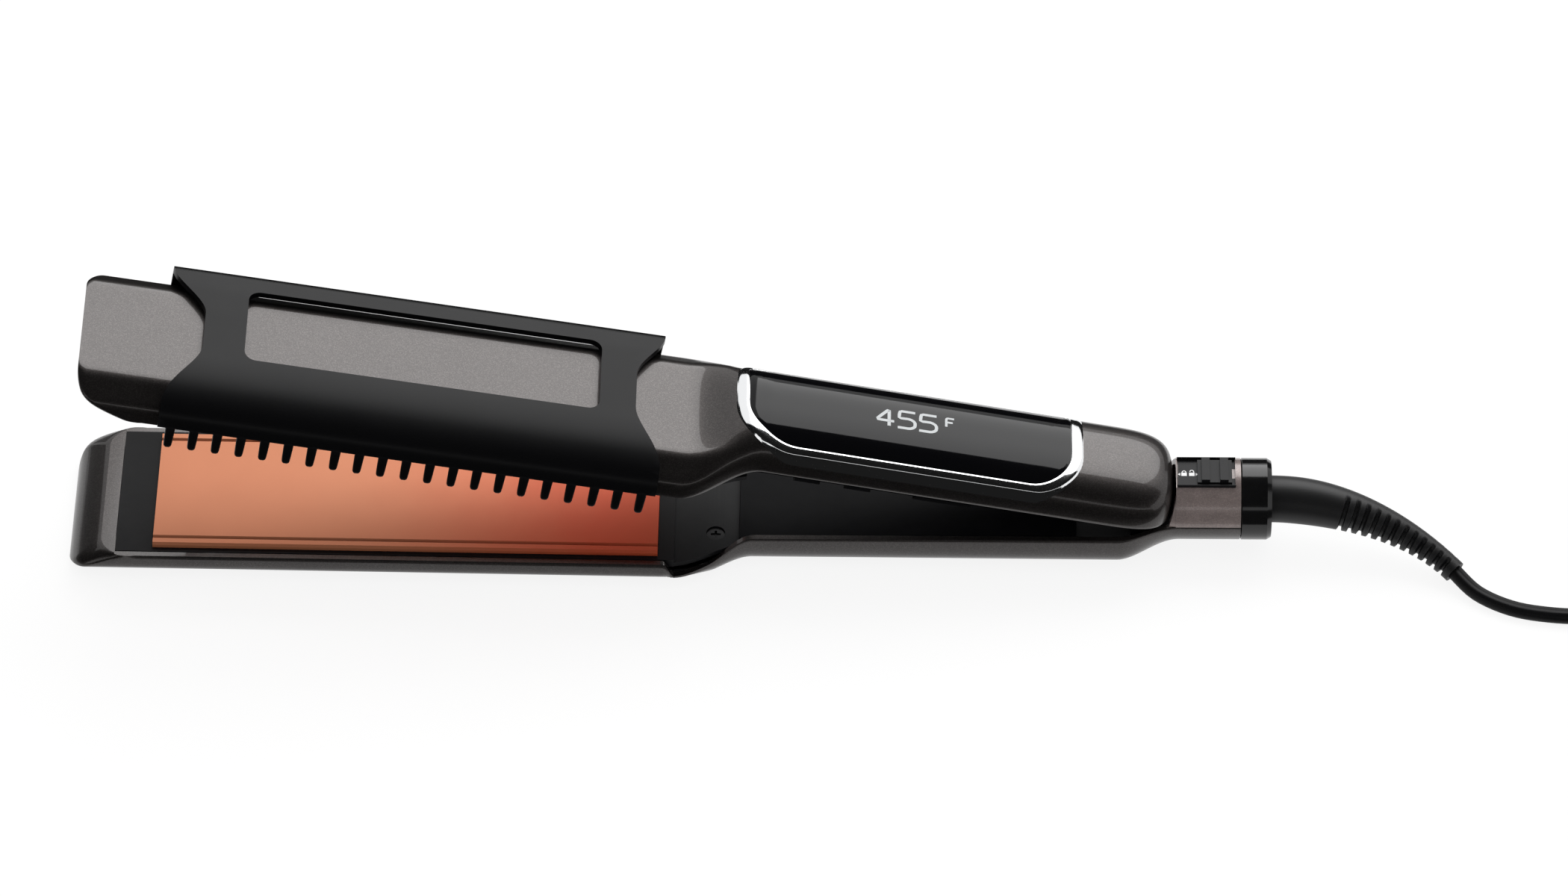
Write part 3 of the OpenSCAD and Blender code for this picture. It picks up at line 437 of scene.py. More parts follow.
def loft(rings, startCap=True):  # closed rings, each an outer line and an inner one back
    n = len(rings[0])
    verts = [p for ring in rings for p in ring]
    faces = sideFaces(len(rings), n)
    if not startCap:
        closeNose(faces, n)
    for i in [0] * startCap + [len(rings) - 1]:
        faces += [(i * n + k, i * n + k + 1, i * n + n - 2 - k, i * n + n - 1 - k) for k in range(n // 2 - 1)]
    return verts, faces


def tubeMesh(rings):
    n = len(rings[0])
    verts = [p for ring in rings for p in ring]
    faces = sideFaces(len(rings), n)
    faces += [tuple(range(n)), tuple(reversed(range((len(rings) - 1) * n, len(rings) * n)))]
    return verts, faces


def resample(line, count):  # the same line with evenly spaced points
    sums = [0.0]
    for a, b in zip(line, line[1:]):
        sums.append(sums[-1] + math.dist(a, b))
    out, j = [], 0
    for k in range(count):
        s = sums[-1] * k / (count - 1)
        while j < len(line) - 2 and sums[j + 1] < s:
            j += 1
        t = (s - sums[j]) / max(1e-9, sums[j + 1] - sums[j])
        out.append(tuple(mix(a, b, min(1, max(0, t))) for a, b in zip(line[j], line[j + 1])))
    return out


def rounded(points, radius, steps=5):  # a polyline whose inner corners are rounded
    out = [points[0]]
    for a, b, c in zip(points, points[1:], points[2:]):
        va, vc = Vector(a) - Vector(b), Vector(c) - Vector(b)
        d = min(radius, va.length * 0.48, vc.length * 0.48)
        p, q = Vector(b) + va.normalized() * d, Vector(b) + vc.normalized() * d
        for k in range(steps + 1):
            t = k / steps
            out.append(tuple(p * (1 - t) ** 2 + Vector(b) * 2 * t * (1 - t) + q * t ** 2))
    return out + [points[-1]]


# sections of the arms


def tailAt(u):
    return smooth(tailStart, barrelStart + 1, u)


def neckAt(u):
    return smooth(neckStart - 1, neckEnd, u)


def lineUp(u):
    return max(0, u - neckStart) * riseSlope


def lowerHalf(u):
    return mix(mix(iron["armWidth"] / 2, iron["handleWidth"] / 2, neckAt(u)), iron["barrel"] / 2, tailAt(u))


def lowerRim(u):
    scoop = 4.2 * smooth(plateEnd + 1.5, neckStart, u) * (1 - smooth(neckStart + 8, neckEnd, u))
    return mix(iron["rim"], 0, neckAt(u)) + scoop - lineUp(u)


def lowerOut(u):
    deep = mix(mix(planeZ, planeZ - 0.4, neckAt(u)), iron["barrel"] / 2, tailAt(u))
    return deep - lineUp(u) * mix(0.55, 1, tailAt(u)) * neckAt(u)


def dome(u):
    return max(0, u - (domeEnd - iron["domeLength"])) / iron["domeLength"]


def roundOff(t, power):
    return max(0.0, 1 - min(1, t) ** power) ** (1 / power)


def upperHalf(u):
    return mix(iron["armWidth"] / 2, iron["handleWidth"] / 2, neckAt(u)) * roundOff(dome(u), iron["domePowers"][0])


def upperRim(u):
    return mix(iron["rim"], 7.4, neckAt(u)) - max(0, u - neckEnd) * math.tan(math.radians(iron["fall"]))


def crownHeight(u):
    return mix(planeZ - iron["rim"], iron["crown"], neckAt(u)) * roundOff(dome(u), iron["domePowers"][1])


def crownAt(u, y):
    share = max(0.0, 1 - (abs(y) / max(0.05, upperHalf(u))) ** iron["crownPower"])
    return upperRim(u) + crownHeight(u) * share ** (1 / iron["crownPower"])


perSide = 41


def armLine(half, out, rim):
    flat = min(iron["flatWidth"] / 2, half - 2.5)
    points = rounded([(0, out), (flat, out), (half, out - iron["bevel"]), (half, rim)], 1.7, 7)
    return resample(points, perSide)


def roundLine(half, out, rim, power):
    points = []
    for k in range(61):
        a = pi / 2 * k / 60
        points.append((half * math.sin(a) ** (2 / power), rim + (out - rim) * max(0, math.cos(a)) ** (2 / power)))
    return resample(points, perSide)


def blendLine(a, b, t):
    return [tuple(mix(p, q, t) for p, q in zip(x, y)) for x, y in zip(a, b)]


def lowerLine(u, inset=0.0):
    half, out, rim = lowerHalf(u) - inset, lowerOut(u) - inset, lowerRim(u)
    body = blendLine(armLine(half, out, rim), roundLine(half, out, rim, 3.6), neckAt(u))
    return blendLine(body, roundLine(half, out, rim, 2), tailAt(u))


def upperLine(u, inset=0.0):
    half, out, rim = upperHalf(u) - inset, upperRim(u) + crownHeight(u) - inset, upperRim(u)
    half, out = max(half, 0.3), max(out, rim + 0.3)
    facet = smooth(neckStart - 1, windowStart + 2, u)
    return blendLine(armLine(half, out, rim), roundLine(half, out, rim, iron["crownPower"]), facet)


def shellRing(u, line, inner, rim, side, place):  # outer face, then back round the inner one
    outer = [(-y, d) for y, d in reversed(line[1:])] + line
    inner = [(-y, d) for y, d in reversed(inner[1:])] + inner
    ring = [place(u, y, planeZ - side * d) for y, d in outer]
    ring[0] = place(u, outer[0][0] + 0.15, planeZ - side * rim)
    ring[-1] = place(u, outer[-1][0] - 0.15, planeZ - side * rim)
    return ring + [place(u, y, planeZ - side * d) for y, d in reversed(inner)]


def spaced(a, b, count):
    return [mix(a, b, k / count) for k in range(count + 1)]


noseEnd = 17


def noseRings(line, inner, rim, out, side, place):  # the tip: a crowned end face with corners that widen to the rim
    outer = [(-y, d) for y, d in reversed(line[1:])] + line
    inner = [(-y, d) for y, d in reversed(inner[1:])] + inner
    small, large = iron["corner"]
    turnIn = math.acos(1 - (carrierStart - iron["noseLean"]) / large)
    steps = [(pi / 2 * k / 14, False) for k in range(15) if pi / 2 * k / 14 < turnIn - 0.03]
    steps += [(turnIn, False), (turnIn, True)]
    steps += [(pi / 2 * k / 14, True) for k in range(15) if pi / 2 * k / 14 > turnIn + 0.03]
    steps += [(pi / 2, True, 0.5)]
    rings = []
    for step in steps:
        angle, hollow = step[:2]
        ahead = step[2] if len(step) > 2 else 0
        ring = []
        for y, d in outer:
            s = max(0, min(1, (out - d) / (out - rim)))
            corner = mix(small, large, s * s)
            u = mix(iron["noseLean"] * s ** 2.2 + corner * (1 - math.cos(angle)), noseEnd, ahead)
            ring.append(place(u, y - corner * (1 - math.sin(angle)) * max(-1, min(1, y / (iron["flatWidth"] / 2))),
                              planeZ - side * d))
        rimU = mix(iron["noseLean"] + large * (1 - math.cos(angle)), noseEnd, ahead)
        a, b = ring[0], ring[-1]
        n = len(inner)
        if hollow:
            back = [place(rimU, y, planeZ - side * d) for y, d in reversed(inner)]
        else:
            back = [b.lerp(a, k / (n - 1)) for k in range(n)]
        rings.append(ring + back)
    return rings


def closeNose(faces, n):  # strips across the end face; the first also takes in the rim
    half = n // 2
    strips = [(k, k + 1, half - 2 - k, half - 1 - k) for k in range(1, half // 2 - 1)]
    strips.append((half // 2 - 1, half // 2, half // 2 + 1) if half % 2 else (half // 2 - 1, half // 2))
    faces += [s for s in strips if len(s) > 2]
    faces.append((0, 1, half - 2) + tuple(range(half - 1, n)))


def plainInside(shell):  # the lacquer is on the outside only
    shell.data.materials.append(finishes["innerCover"])
    for face in shell.data.polygons:
        u = face.center.x / mm + originU
        if face.normal.z > 0.3 and u > noseEnd + 1 and abs(face.center.y) / mm < lowerHalf(u) - iron["wall"] - 0.1:
            face.material_index = 1


def makeLowerShell():
    wall = iron["wall"]
    u = noseEnd
    rings = noseRings(lowerLine(u), lowerLine(u, wall), lowerRim(u), lowerOut(u), 1, placed)
    stations = spaced(noseEnd, plateEnd, 12) + spaced(plateEnd, neckEnd + 6, 44)[1:]
    stations += spaced(neckEnd + 6, tailStart, 16)[1:] + spaced(tailStart, barrelStart + 1, 20)[1:]
    stations += spaced(barrelStart + 1, barrelEnd, 3)[1:]
    rings += [shellRing(u, lowerLine(u), lowerLine(u, wall), lowerRim(u), 1, placed) for u in stations]
    verts, faces = loft(rings, False)
    plainInside(addPiece("lowerShell", verts, faces, "graphite", "lower_arm", ["lower_casing"], 42))


def makeUpperShell():
    wall = iron["wall"]
    u = noseEnd
    rings = noseRings(upperLine(u), upperLine(u, wall), upperRim(u), upperRim(u) + crownHeight(u), -1, swung)
    stations = spaced(noseEnd, plateEnd, 12) + spaced(plateEnd, neckEnd + 4, 40)[1:]
    stations += spaced(neckEnd + 4, windowEnd + 3, 20)[1:]
    stations += [mix(windowEnd + 3, domeEnd - 0.02, math.sin(pi / 2 * k / 30)) for k in range(1, 31)]
    rings += [shellRing(u, upperLine(u), upperLine(u, wall), upperRim(u), -1, swung) for u in stations]
    verts, faces = loft(rings, False)
    addPiece("upperShell", verts, faces, "graphite", "upper_arm", ["upper_casing"], 42)


makeLowerShell()
makeUpperShell()
print("stage: arm shells")

# the mouth's rounded corners
mouth = {"radius": 5.6, "overlap": 0.6, "depth": 2.2, "rimAt": 15}


def makeMouthCorners(name, rim, side, place, body):  # webs that round the casing's opening at the tip
    r, verts, faces = mouth["radius"], [], []
    a, half = carrierStart - mouth["overlap"], iron["armWidth"] / 2 - iron["wall"]
    for turn in (-1, 1):
        arc = [(carrierStart + r - r * math.cos(pi / 2 * k / 12), half - r + r * math.sin(pi / 2 * k / 12))
               for k in range(13)]
        outline = arc + [(carrierStart + r, half + mouth["overlap"]), (a, half + mouth["overlap"]), (a, half - r)]
        tops = [place(u, turn * y, planeZ - side * (rim + 0.04)) for u, y in outline]
        lows = [place(u, turn * y, planeZ - side * (rim + mouth["depth"])) for u, y in outline]
        base, n = len(verts), len(outline)
        verts += tops + lows
        faces += [tuple(range(base, base + n)), tuple(reversed(range(base + n, base + 2 * n)))]
        faces += [(base + k, base + (k + 1) % n, base + n + (k + 1) % n, base + n + k) for k in range(n)]
    addPiece(name, verts, faces, "graphite", body, angle=40)


makeMouthCorners("lowerMouthCorners", lowerRim(mouth["rimAt"]), 1, placed, "lower_arm")
makeMouthCorners("upperMouthCorners", upperRim(mouth["rimAt"]), -1, swung, "upper_arm")

# bright ring, window and its digits
panel = {"radii": (14, 11.5, 3, 3), "ring": 2.6, "near": 0.76, "far": 0.22, "before": 0.8, "after": 0.3, "level": 0.62}


def outlineAt(inset, steps=14, straight=40):  # the ring is wide at its ends, narrower near and slim at the far side
    a, b = windowStart - panel["before"] + inset, windowEnd + panel["after"] - inset
    near, far = windowHalf - inset * panel["near"], windowHalf - inset * panel["far"]
    r, s, v, w = [r - inset * 0.6 for r in panel["radii"]]
    corners = [(a + r, -near + r, 180, r), (b - s, -near + s, 270, s), (b - v, far - v, 0, v), (a + w, far - w, 90, w)]
    points = []
    for c, (x, y, start, r) in enumerate(corners):
        for k in range(steps + 1):
            t = math.radians(start + 90 * k / steps)
            points.append((x + r * math.cos(t), y + r * math.sin(t)))
        if c in (0, 2):
            x2 = corners[c + 1][0]
            y2 = points[-1][1]
            points += [(mix(x, x2, k / straight), y2) for k in range(1, straight)]
        else:
            y2 = corners[(c + 1) % 4][1]
            points += [(points[-1][0], mix(y, y2, k / 12)) for k in range(1, 12)]
    return points


def onCrown(u, y, lift):
    return swung(u, y, planeZ + crownAt(u, y) + lift)


def makeRing():
    profile = [(-0.28, -1.0), (-0.27, -0.12), (-0.02, 0.1), (0.08, 0.25), (0.3, 0.3), (0.7, 0.3), (0.92, 0.24),
               (1.0, 0.06), (1.0, -1.2)]
    outlines = [(outlineAt(0.1 + panel["ring"] * t), lift) for t, lift in profile]
    rings = []
    for i in range(len(outlines[0][0])):
        u1, y1 = outlines[-1][0][i]
        ring = []
        for line, lift in outlines:
            u, y = line[i]
            level = panel["level"] * (crownAt(u1, y1) - crownAt(u1, y)) if lift > 0 else 0
            ring.append(onCrown(u, y, lift + max(0, level)))
        rings.append(ring)
    n = len(profile)
    verts = [p for ring in rings for p in ring]
    faces = [(i * n + k, i * n + (k + 1) % n, ((i + 1) % len(rings)) * n + (k + 1) % n, ((i + 1) % len(rings)) * n + k)
             for i in range(len(rings)) for k in range(n)]
    addPiece("brightRing", verts, faces, "chrome", "upper_arm", ["bezel_ring"], 60)


def makeWindow():
    inset = 0.1 + panel["ring"] + 0.02
    edge = outlineAt(inset)
    count = len(edge)
    layers = [(1.0, -0.6), (1.0, 0.0), (0.985, 0.1), (0.9, 0.12), (0.75, 0.12), (0.6, 0.12), (0.45, 0.12),
              (0.3, 0.12), (0.15, 0.12)]
    middle = ((windowStart + windowEnd) / 2, 0)
    verts, faces = [], []
    for scale, lift in layers:
        for u, y in edge:
            flatU = mix(middle[0] + max(-1, min(1, (u - middle[0]) / 30)) * 30, u, scale) if scale < 1 else u
            verts.append(onCrown(flatU, y * scale, lift))
    for i in range(len(layers) - 1):
        for k in range(count):
            q = (k + 1) % count
            faces.append((i * count + k, i * count + q, (i + 1) * count + q, (i + 1) * count + k))
    last = (len(layers) - 1) * count
    faces.append(tuple(range(last, last + count)))
    addPiece("windowPanel", verts, faces, "window", "upper_arm", ["display_window"], 30)


makeRing()
makeWindow()

digit = {"height": 5.6, "width": 4.4, "stroke": 0.82, "spacing": 5.3, "left": 193.0, "low": -2.4}
digitShapes = {"4": [[(0.72, 0), (0.72, 1), (0.0, 0.3), (1.0, 0.3)]],
               "5": [[(0.98, 1), (0.12, 1), (0.06, 0.56), (0.7, 0.58), (0.98, 0.44), (0.98, 0.14), (0.72, 0),
                      (0.0, 0)]],
               "F": [[(0.05, 0), (0.05, 1), (0.9, 1)], [(0.05, 0.52), (0.75, 0.52)]]}


def strip(points, width):  # a flat stroke along a line, with mitred joints
    line = resample(rounded(points, 0.5, 3), 26)
    left, right = [], []
    for i, p in enumerate(line):
        a, b = line[max(0, i - 1)], line[min(len(line) - 1, i + 1)]
        d = Vector((b[0] - a[0], b[1] - a[1])).normalized()
        side = Vector((-d.y, d.x)) * width / 2
        left.append((p[0] + side.x, p[1] + side.y))
        right.append((p[0] - side.x, p[1] - side.y))
    return left, right


def stripFaces(base, count):
    return [(base + 2 * k, base + 2 * k + 1, base + 2 * k + 3, base + 2 * k + 2) for k in range(count - 1)]


def makeDigits():
    marks = [("4", 0, 1), ("5", 1, 1), ("5", 2, 1), ("F", 3.25, 0.52)]
    verts, faces = [], []
    for sign, step, size in marks:
        for shape in digitShapes[sign]:
            left0 = digit["left"] + step * digit["spacing"]
            low = digit["low"] + (1 - size) * digit["height"]
            points = [(left0 + x * digit["width"] * size, low + y * digit["height"] * size) for x, y in shape]
            left, right = strip(points, digit["stroke"] * (0.75 if size < 1 else 1))
            base = len(verts)
            for a, b in zip(left, right):
                verts += [onCrown(a[0], a[1], 0.16), onCrown(b[0], b[1], 0.16)]
            faces += stripFaces(base, len(left))
    addPiece("displayDigits", verts, faces, "print", "upper_arm")


makeDigits()
print("stage: display")

# comb cover
comb = {"start": iron["nose"] - 0.4, "end": plateEnd - 2.6, "wall": 1.6, "lift": 0.9,
        "side": iron["armWidth"] / 2 + 3, "low": 4.4, "teeth": 21, "toothInset": 3.2, "tooth": 5.9, "scallop": 8.5,
        "windowInset": (18.6, 15.6), "windowSides": (-6.8, 16.6), "windowRadius": 3, "edge": 0.4}
combTop = planeZ + comb["lift"] + comb["wall"]


def combPath():
    side, flat = comb["side"], iron["flatWidth"]
    far = rounded([(side - 1.1, 2), (side - 1, 5), (side - 1.1, combTop - 2.6), (side - 3, combTop - 0.6),
                   (flat / 2, combTop - 0.1), (flat / 4, combTop), (0, combTop), (-flat / 4, combTop)], 1.5, 4)
    near = []
    for k in range(1, 41):
        a = pi / 2 * k / 40
        near.append((-flat / 4 - (side - flat / 4) * math.sin(a),
                     comb["low"] + (combTop - comb["low"]) * max(0, math.cos(a)) ** 0.75))
    return far[:-1] + [(-flat / 4, combTop)] + near


def scallop(y):
    side = comb["side"]
    return comb["scallop"] * smooth(-side + 3, -4, y) * (1 - smooth(7, side - 3, y))


def makeComb():
    path = resample(combPath(), 90)
    inner = []
    for k, p in enumerate(path):
        a, b = path[max(0, k - 1)], path[min(len(path) - 1, k + 1)]
        d = Vector((b[0] - a[0], b[1] - a[1])).normalized()
        inner.append((p[0] - d.y * comb["wall"], p[1] + d.x * comb["wall"]))
    columns = 60
    rings = []
    for c in range(columns + 1):
        t = c / columns
        outer, back = [], []
        for p, q in zip(path, inner):
            s = scallop(p[0])
            u = mix(comb["start"] + s, comb["end"] - s * 0.8, t)
            outer.append(swung(u, p[0], planeZ + p[1]))
            back.append(swung(u, q[0], planeZ + q[1]))
        rings.append(outer + back[::-1])
    verts, faces = loft(rings)
    cover = addPiece("combCover", verts, faces, "combPlastic", "comb", ["comb_cover", "comb_teeth"], 40)
    cutHole(cover, windowCutter())
    cutHole(cover, farCutter())
    soften = cover.modifiers.new("soften", "BEVEL")
    soften.width, soften.segments = comb["edge"] * mm, 3
    soften.limit_method, soften.angle_limit = "ANGLE", math.radians(45)
    soften.use_clamp_overlap = True


def looseMesh(name, verts, faces):
    mesh = bpy.data.meshes.new(name)
    mesh.from_pydata([tuple(v) for v in verts], [], faces)
    fixNormals(mesh)
    piece = bpy.data.objects.new(name, mesh)
    bpy.context.collection.objects.link(piece)
    return piece


def windowCutter():
    a = comb["start"] + comb["windowInset"][0]
    b = comb["end"] - comb["windowInset"][1]
    low, high = comb["windowSides"]
    r = comb["windowRadius"]
    ring = []
    for x, y, start in ((a + r, low + r, 180), (b - r, low + r, 270), (b - r, high - r, 0), (a + r, high - r, 90)):
        ring += [(x + r * math.cos(math.radians(start + 9 * k)), y + r * math.sin(math.radians(start + 9 * k)))
                 for k in range(11)]
    rings = [[swung(u, y, z) for u, y in ring] for z in (2 * planeZ - 3, 2 * planeZ + 9)]
    return looseMesh("windowCutter", *tubeMesh(rings))


def farCutter():
    a, b = comb["start"] + 5.5, comb["end"] - 5.5
    y0, y1, z0, z1 = comb["side"] - 7, comb["side"] + 5, planeZ - 2, planeZ + combTop - 4.4
    rings = [[swung(u, y0, z0), swung(u, y1, z0), swung(u, y1, z1), swung(u, y0, z1)] for u in (a, b)]
    return looseMesh("farCutter", *tubeMesh(rings))


def cutHole(piece, cutter):
    cut = piece.modifiers.new("cut", "BOOLEAN")
    cut.operation, cut.object, cut.solver = "DIFFERENCE", cutter, "EXACT"
    apply(piece)
    bpy.data.objects.remove(cutter)
    piece.data.shade_smooth()
    piece.data.set_sharp_from_angle(angle=math.radians(40))


def makeTeeth():
    verts, faces = [], []
    for k in range(comb["teeth"]):
        u = mix(comb["start"] + comb["toothInset"], comb["end"] - comb["toothInset"], k / (comb["teeth"] - 1))
        y = -comb["side"] + comb["wall"] / 2
        top = planeZ + 4.6
        low = planeZ + 3.4 - comb["tooth"]
        rings = []
        for z, wide, thick in ((top, 1.2, 0.7), (planeZ + 3.4, 1.18, 0.7), (mix(low, top, 0.35), 1.08, 0.64),
                               (low + 0.9, 1.0, 0.6), (low + 0.4, 0.84, 0.52), (low + 0.1, 0.56, 0.4),
                               (low, 0.3, 0.24)):
            ring = []
            for j in range(16):
                t = 2 * pi * j / 16
                c, s = math.cos(t), math.sin(t)
                ring.append(swung(u + wide * math.copysign(abs(c) ** 0.5, c),
                                  y + thick * math.copysign(abs(s) ** 0.5, s), z))
            rings.append(ring)
        v, f = tubeMesh(rings)
        faces += [tuple(i + len(verts) for i in face) for face in f]
        verts += v
    addPiece("combTeeth", verts, faces, "combPlastic", "comb", angle=50)


makeComb()
makeTeeth()
print("stage: comb cover")

# slider recess and its lock signs
recess = {"half": 4.8, "depth": 1.3, "start": barrelStart + 0.05, "end": barrelEnd - 1.45, "slotHalf": 1.6,
          "slotStart": barrelEnd - 10.3, "wallHeight": 0.95, "wallThick": 0.12}


def risen(u, y, h):  # a point over the barrel's axis, which rises with the handle
    return placed(u, y, planeZ + (u - neckStart) * riseSlope + h)


def makeInlay():  # black lining of the recess, open where the slider runs
    half, level = recess["half"] - 0.05, iron["barrel"] / 2 - recess["depth"]
    verts, faces = [], []
    for u0, u1, y0, y1 in ((recess["start"], recess["slotStart"], -half, half),
                           (recess["slotStart"], recess["end"], recess["slotHalf"] + 0.05, half),
                           (recess["slotStart"], recess["end"], -half, -recess["slotHalf"] - 0.05)):
        base = len(verts)
        for h in (level + 0.01, level + 0.07):
            verts += [risen(u0, y0, h), risen(u1, y0, h), risen(u1, y1, h), risen(u0, y1, h)]
        faces += [tuple(base + i for i in f) for f in ((3, 2, 1, 0), (4, 5, 6, 7), (0, 1, 5, 4), (1, 2, 6, 5),
                                                       (2, 3, 7, 6), (3, 0, 4, 7))]
    for turn in (-1, 1):  # side walls
        base, y0, y1 = len(verts), turn * half, turn * (half - recess["wallThick"])
        high = level + recess["wallHeight"]
        for u in (recess["start"], recess["end"]):
            verts += [risen(u, y0, level), risen(u, y1, level), risen(u, y1, high), risen(u, y0, high)]
        faces += [tuple(base + i for i in f) for f in ((0, 1, 2, 3), (7, 6, 5, 4), (1, 5, 6, 2), (0, 3, 7, 4),
                                                       (2, 6, 7, 3), (0, 4, 5, 1))]
    addPiece("recessLining", verts, faces, "slideBlack", "lower_arm", angle=30)


def makeLockSigns():  # a shut and an open padlock, each with its arrow
    level = iron["barrel"] / 2 - recess["depth"] + 0.1
    left, verts, faces = recess["start"] + 0.05, [], []

    def flat(points):
        base = len(verts)
        verts.extend(risen(left + x, y, level) for x, y in points)
        faces.append(tuple(range(base, base + len(points))))

    for x0, lift in ((1.0, 0), (2.9, 0.22)):
        flat([(x0, -0.85), (x0 + 1.35, -0.85), (x0 + 1.35, 0.25), (x0, 0.25)])
        bow = [(x0 + 0.675 - 0.47 * math.cos(pi * k / 10), 0.32 + lift + 0.55 * math.sin(pi * k / 10))
               for k in range(11)]
        bow = ([(bow[0][0], 0.2)] if not lift else []) + bow + [(bow[-1][0], 0.2)]
        a, b = strip(bow, 0.22)
        base = len(verts)
        for p, q in zip(a, b):
            verts.extend((risen(left + p[0], p[1], level), risen(left + q[0], q[1], level)))
        faces += stripFaces(base, len(a))
    flat([(0.75, -0.75), (0.75, 0.15), (0.1, -0.3)])
    flat([(4.5, -0.75), (5.15, -0.3), (4.5, 0.15)])
    addPiece("lockSigns", verts, faces, "whitePrint", "lower_arm")


sleeve = {"outer": 9.75, "inner": 8.4, "front": 6.5, "lean": 0.22, "wrap": 1.06}


def makeSleeve():  # the barrel's front edge, cut back above so that the dome can tip over it
    rings = []
    for radius, back in ((sleeve["outer"], 0), (sleeve["outer"], 1), (sleeve["inner"], 1), (sleeve["inner"], 0)):
        ring = []
        for k in range(49):
            a = pi * (k / 48 - 0.5) * sleeve["wrap"]
            y, h = radius * math.sin(a), radius * math.cos(a)
            front = hingeU + sleeve["front"] + max(0, h) * sleeve["lean"]
            ring.append(risen(barrelStart + 0.2 if back else min(front, barrelStart + 0.1), y, h))
        rings.append(ring)
    n = len(rings[0])
    verts = [p for ring in rings for p in ring]
    faces = [(i * n + k, i * n + k + 1, (i + 1) % 4 * n + k + 1, (i + 1) % 4 * n + k)
             for i in range(4) for k in range(n - 1)]
    faces += [(0, n, 2 * n, 3 * n), (n - 1, 4 * n - 1, 3 * n - 1, 2 * n - 1)]
    addPiece("barrelSleeve", verts, faces, "bronze", "lower_arm", angle=40)


makeInlay()
makeLockSigns()
makeSleeve()
print("stage: slider recess")

# cord
cordFacts = {"width": 4.0, "ribs": 12, "ribDepth": 1.05, "bootRadii": (5.75, 2.9), "loops": 12, "layers": 4,
             "coilX": 410, "coilY": 3, "coilOut": 30, "turnPitch": 4.75, "layerRise": 4.55}
cordR = cordFacts["width"] / 2
restZ = cordR - cordFacts["width"] / 10
axisEnd = Vector((collarEnd + 0.05, 0, planeZ + (collarEnd - neckStart) * riseSlope))
bootLine = [axisEnd, axisEnd + Vector((16, 0, 0.28)), Vector((collarEnd + 34, -4, 8)),
            Vector((collarEnd + 45, -14.4, 3.4))]
# where the cord runs on the surface, from the boot to the coil and from the coil to the plug
cordRoute = [(344, -20, 1.9), (352, -24.5, 1.6), (361, -26.5, 1.6), (372, -27, 1.6), (392, -27, 1.6), (406, -27, 1.6)]


def bezier(p, t):
    return (p[0] * (1 - t) ** 3 + p[1] * 3 * t * (1 - t) ** 2 + p[2] * 3 * t ** 2 * (1 - t) + p[3] * t ** 3)


def alongCurve(points, steps):
    p = [Vector(v) for v in points]
    out = []
    for i in range(len(p) - 1):
        a, b, c, d = p[max(i - 1, 0)], p[i], p[i + 1], p[min(i + 2, len(p) - 1)]
        for k in range(steps):
            t = k / steps
            out.append(0.5 * (2 * b + (c - a) * t + (2 * a - 5 * b + 4 * c - d) * t * t
                              + (3 * b - a - 3 * c + d) * t ** 3))
    return out + [p[-1]]


def coilPoint(t):
    perLayer = cordFacts["loops"] / cordFacts["layers"]
    layer = math.floor(t / perLayer)
    part = t - layer * perLayer
    radius = cordFacts["coilOut"] - cordFacts["turnPitch"] * (part if layer % 2 == 0 else perLayer - part)
    step = math.floor((t + 0.25) / perLayer)
    f = (t + 0.25 - step * perLayer) / 0.5
    if t < 0.3:
        level = 0
    elif t > cordFacts["loops"] - 0.3:
        level = cordFacts["layers"] - 1
    else:
        level = step - 1 + f if f < 1 and step > 0 else step
    a = 2 * pi * t - pi / 2
    return Vector((cordFacts["coilX"] + radius * math.cos(a), cordFacts["coilY"] + radius * math.sin(a),
                   restZ + cordFacts["layerRise"] * level))


def tailRoute(end):  # on round the top of the coil, then in over it to the plug
    x, y, out = cordFacts["coilX"], cordFacts["coilY"], cordFacts["coilOut"]
    turn, climb = 16, cordR + 8.3
    points = []
    for k in range(6):
        a = math.radians(18 * k - 90)
        points.append((x + out * math.cos(a), y + out * math.sin(a), end[2] + climb * smooth(0, 1, k / 10)))
    for k in range(1, 6):
        a = math.radians(18 * k)
        points.append((x + out - turn + turn * math.cos(a), y + turn * math.sin(a),
                       end[2] + climb * smooth(0, 1, 0.5 + k / 10)))
    return points + [(x + out - turn - 3, y + turn, end[2] + climb)]


def cordLine():
    bootTip = bezier(bootLine, 1)
    free = alongCurve([bootTip] + cordRoute, 5)
    coil = [coilPoint(k / 36) for k in range(36 * cordFacts["loops"] + 1)]
    tail = alongCurve(tailRoute(coil[-1]), 5)
    return free + coil + tail[1:]


def makeCord():
    line = cordLine()
    rings = []
    for i, p in enumerate(line):
        d = (line[min(i + 1, len(line) - 1)] - line[max(i - 1, 0)]).normalized()
        w = d.cross(Vector((0, 0, 1))).normalized()
        v = w.cross(d)
        ring = []
        for k in range(28):
            a = 2 * pi * (k + 0.5) / 28
            groove = min(abs(a - pi / 2), abs(a - 3 * pi / 2))
            r = cordR * (1 - 0.2 * math.exp(-(groove / 0.17) ** 2)) * (1 - 0.04 * abs(math.sin(a)))
            q = p + (w * math.cos(a) + v * math.sin(a)) * r
            ring.append(placed(q.x, q.y, max(0.02, q.z)))
        rings.append(ring)
    verts, faces = tubeMesh(rings)
    piece = addPiece("mainsCord", verts, faces, "sheath", "swivel", ["cord", "cord_coil", "cord_tail"],
                     60)


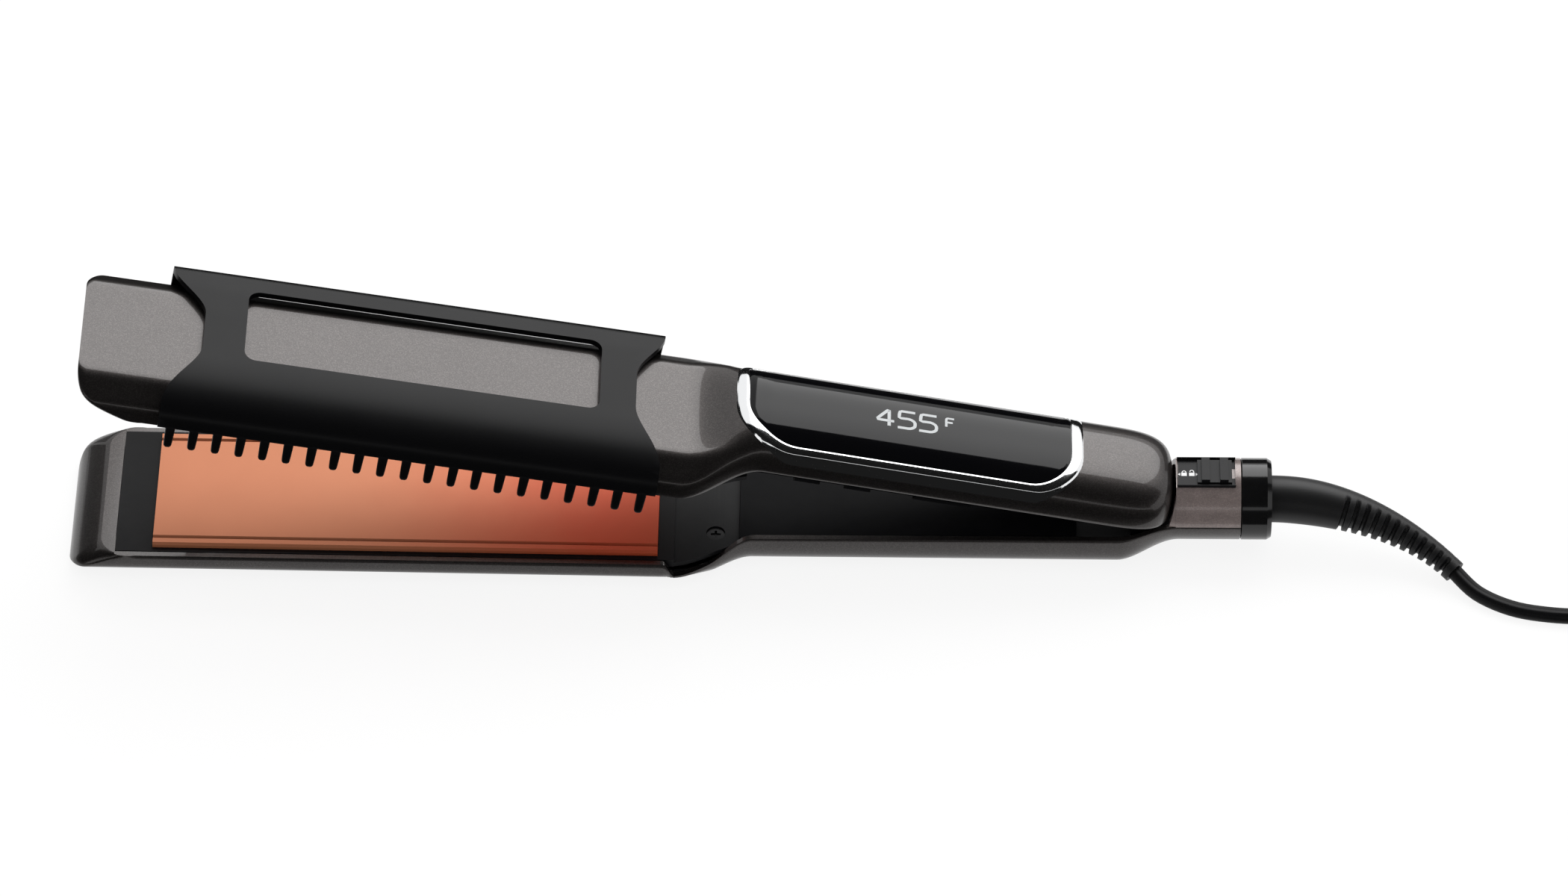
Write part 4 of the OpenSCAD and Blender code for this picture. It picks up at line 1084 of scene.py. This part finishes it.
def makeBoot():
    rings, steps, ribs = [], 216, cordFacts["ribs"]
    for k in range(steps + 1):
        t = k / steps
        p = bezier(bootLine, t)
        d = (bezier(bootLine, min(1, t + 0.01)) - bezier(bootLine, max(0, t - 0.01))).normalized()
        w = d.cross(Vector((0, 0, 1))).normalized()
        v = w.cross(d)
        base = mix(*cordFacts["bootRadii"], smooth(0.1, 1, t))
        place = (t - 0.35) / 0.63 * ribs
        cut = 0
        if 0 <= place < ribs:
            f = place % 1
            cut = cordFacts["ribDepth"] * smooth(0.08, 0.2, f) * (1 - smooth(0.46, 0.58, f))
        ring = []
        for j in range(40):
            a = 2 * pi * j / 40
            spine = 1 - smooth(0.45, 0.75, abs(((a - pi * 0.62 + pi) % (2 * pi)) - pi))  # unbroken on the far top side
            r = base - cut * (1 - spine)
            q = p + (w * math.cos(a) + v * math.sin(a)) * r
            ring.append(placed(q.x, q.y, max(0.05, q.z)))
        rings.append(ring)
    verts, faces = tubeMesh(rings)
    addPiece("strainRelief", verts, faces, "rubber", "swivel", ["strain_relief"], 50)


makeCord()
makeBoot()
print("stage: cord")

# pieces that keep their solid
kept = {"lower_plate_carrier": "heatPlastic", "upper_plate_carrier": "heatPlastic", "lower_plate": "copperPlate",
        "upper_plate": "copperPlate", "lower_heater": "ceramic", "upper_heater": "ceramic",
        "lower_plate_pads": "silicone", "upper_plate_pads": "silicone", "lower_handle_cover": "innerCover",
        "upper_handle_cover": "innerCover", "carrier_screws": "slideBlack", "barrel_cover": "bronze",
        "lock_slider": "slideBlack", "end_collar": "glossBlack", "hinge_fork": "innerCover", "hinge_pin": "steel",
        "hinge_spring": "steel", "hinge_knuckle": "heatPlastic", "display_module": "heatPlastic",
        "control_board": "board", "button_minus": "combPlastic", "button_plus": "combPlastic",
        "button_power": "combPlastic", "swivel_sleeve": "heatPlastic", "plug_body": "rubber", "plug_blades": "brass"}


def dressKept():
    for name, finish in kept.items():
        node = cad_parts[name]
        node.data.materials.clear()
        node.data.materials.append(finishes[finish])
        node.data.shade_smooth()
        node.data.set_sharp_from_angle(angle=math.radians(32))
        if name != "hinge_spring":
            soften = node.modifiers.new("soften", "BEVEL")
            soften.width, soften.segments, soften.limit_method = 0.00018, 2, "ANGLE"
            soften.angle_limit = math.radians(40)


dressKept()
print("stage: kept solids")

# floor
floorLook = {"half": 3, "rough": 0.9, "glow": 0.86}


def addFloor():
    mesh = bpy.data.meshes.new("floor")
    half = floorLook["half"]
    mesh.from_pydata(cardCorners((-half, -half, 0), (half, half, 0)), [], [(0, 1, 2, 3)])
    floor = bpy.data.objects.new("floor", mesh)
    bpy.context.collection.objects.link(floor)
    material = bpy.data.materials.new("paleFloor")
    material.use_nodes = True
    tree = material.node_tree
    shader = tree.nodes["Principled BSDF"]
    shader.inputs["Base Color"].default_value = (1, 1, 1, 1)
    shader.inputs["Roughness"].default_value = floorLook["rough"]
    shader.inputs["Specular IOR Level"].default_value = 0
    glow, join = tree.nodes.new("ShaderNodeEmission"), tree.nodes.new("ShaderNodeMixShader")
    tree.links.new(addMath(tree, "MULTIPLY", seenRay(tree), floorLook["glow"]), join.inputs["Fac"])
    tree.links.new(shader.outputs[0], join.inputs[1])
    tree.links.new(glow.outputs[0], join.inputs[2])
    tree.links.new(join.outputs[0], tree.nodes["Material Output"].inputs["Surface"])
    mesh.materials.append(material)


addFloor()
print("stage: done")
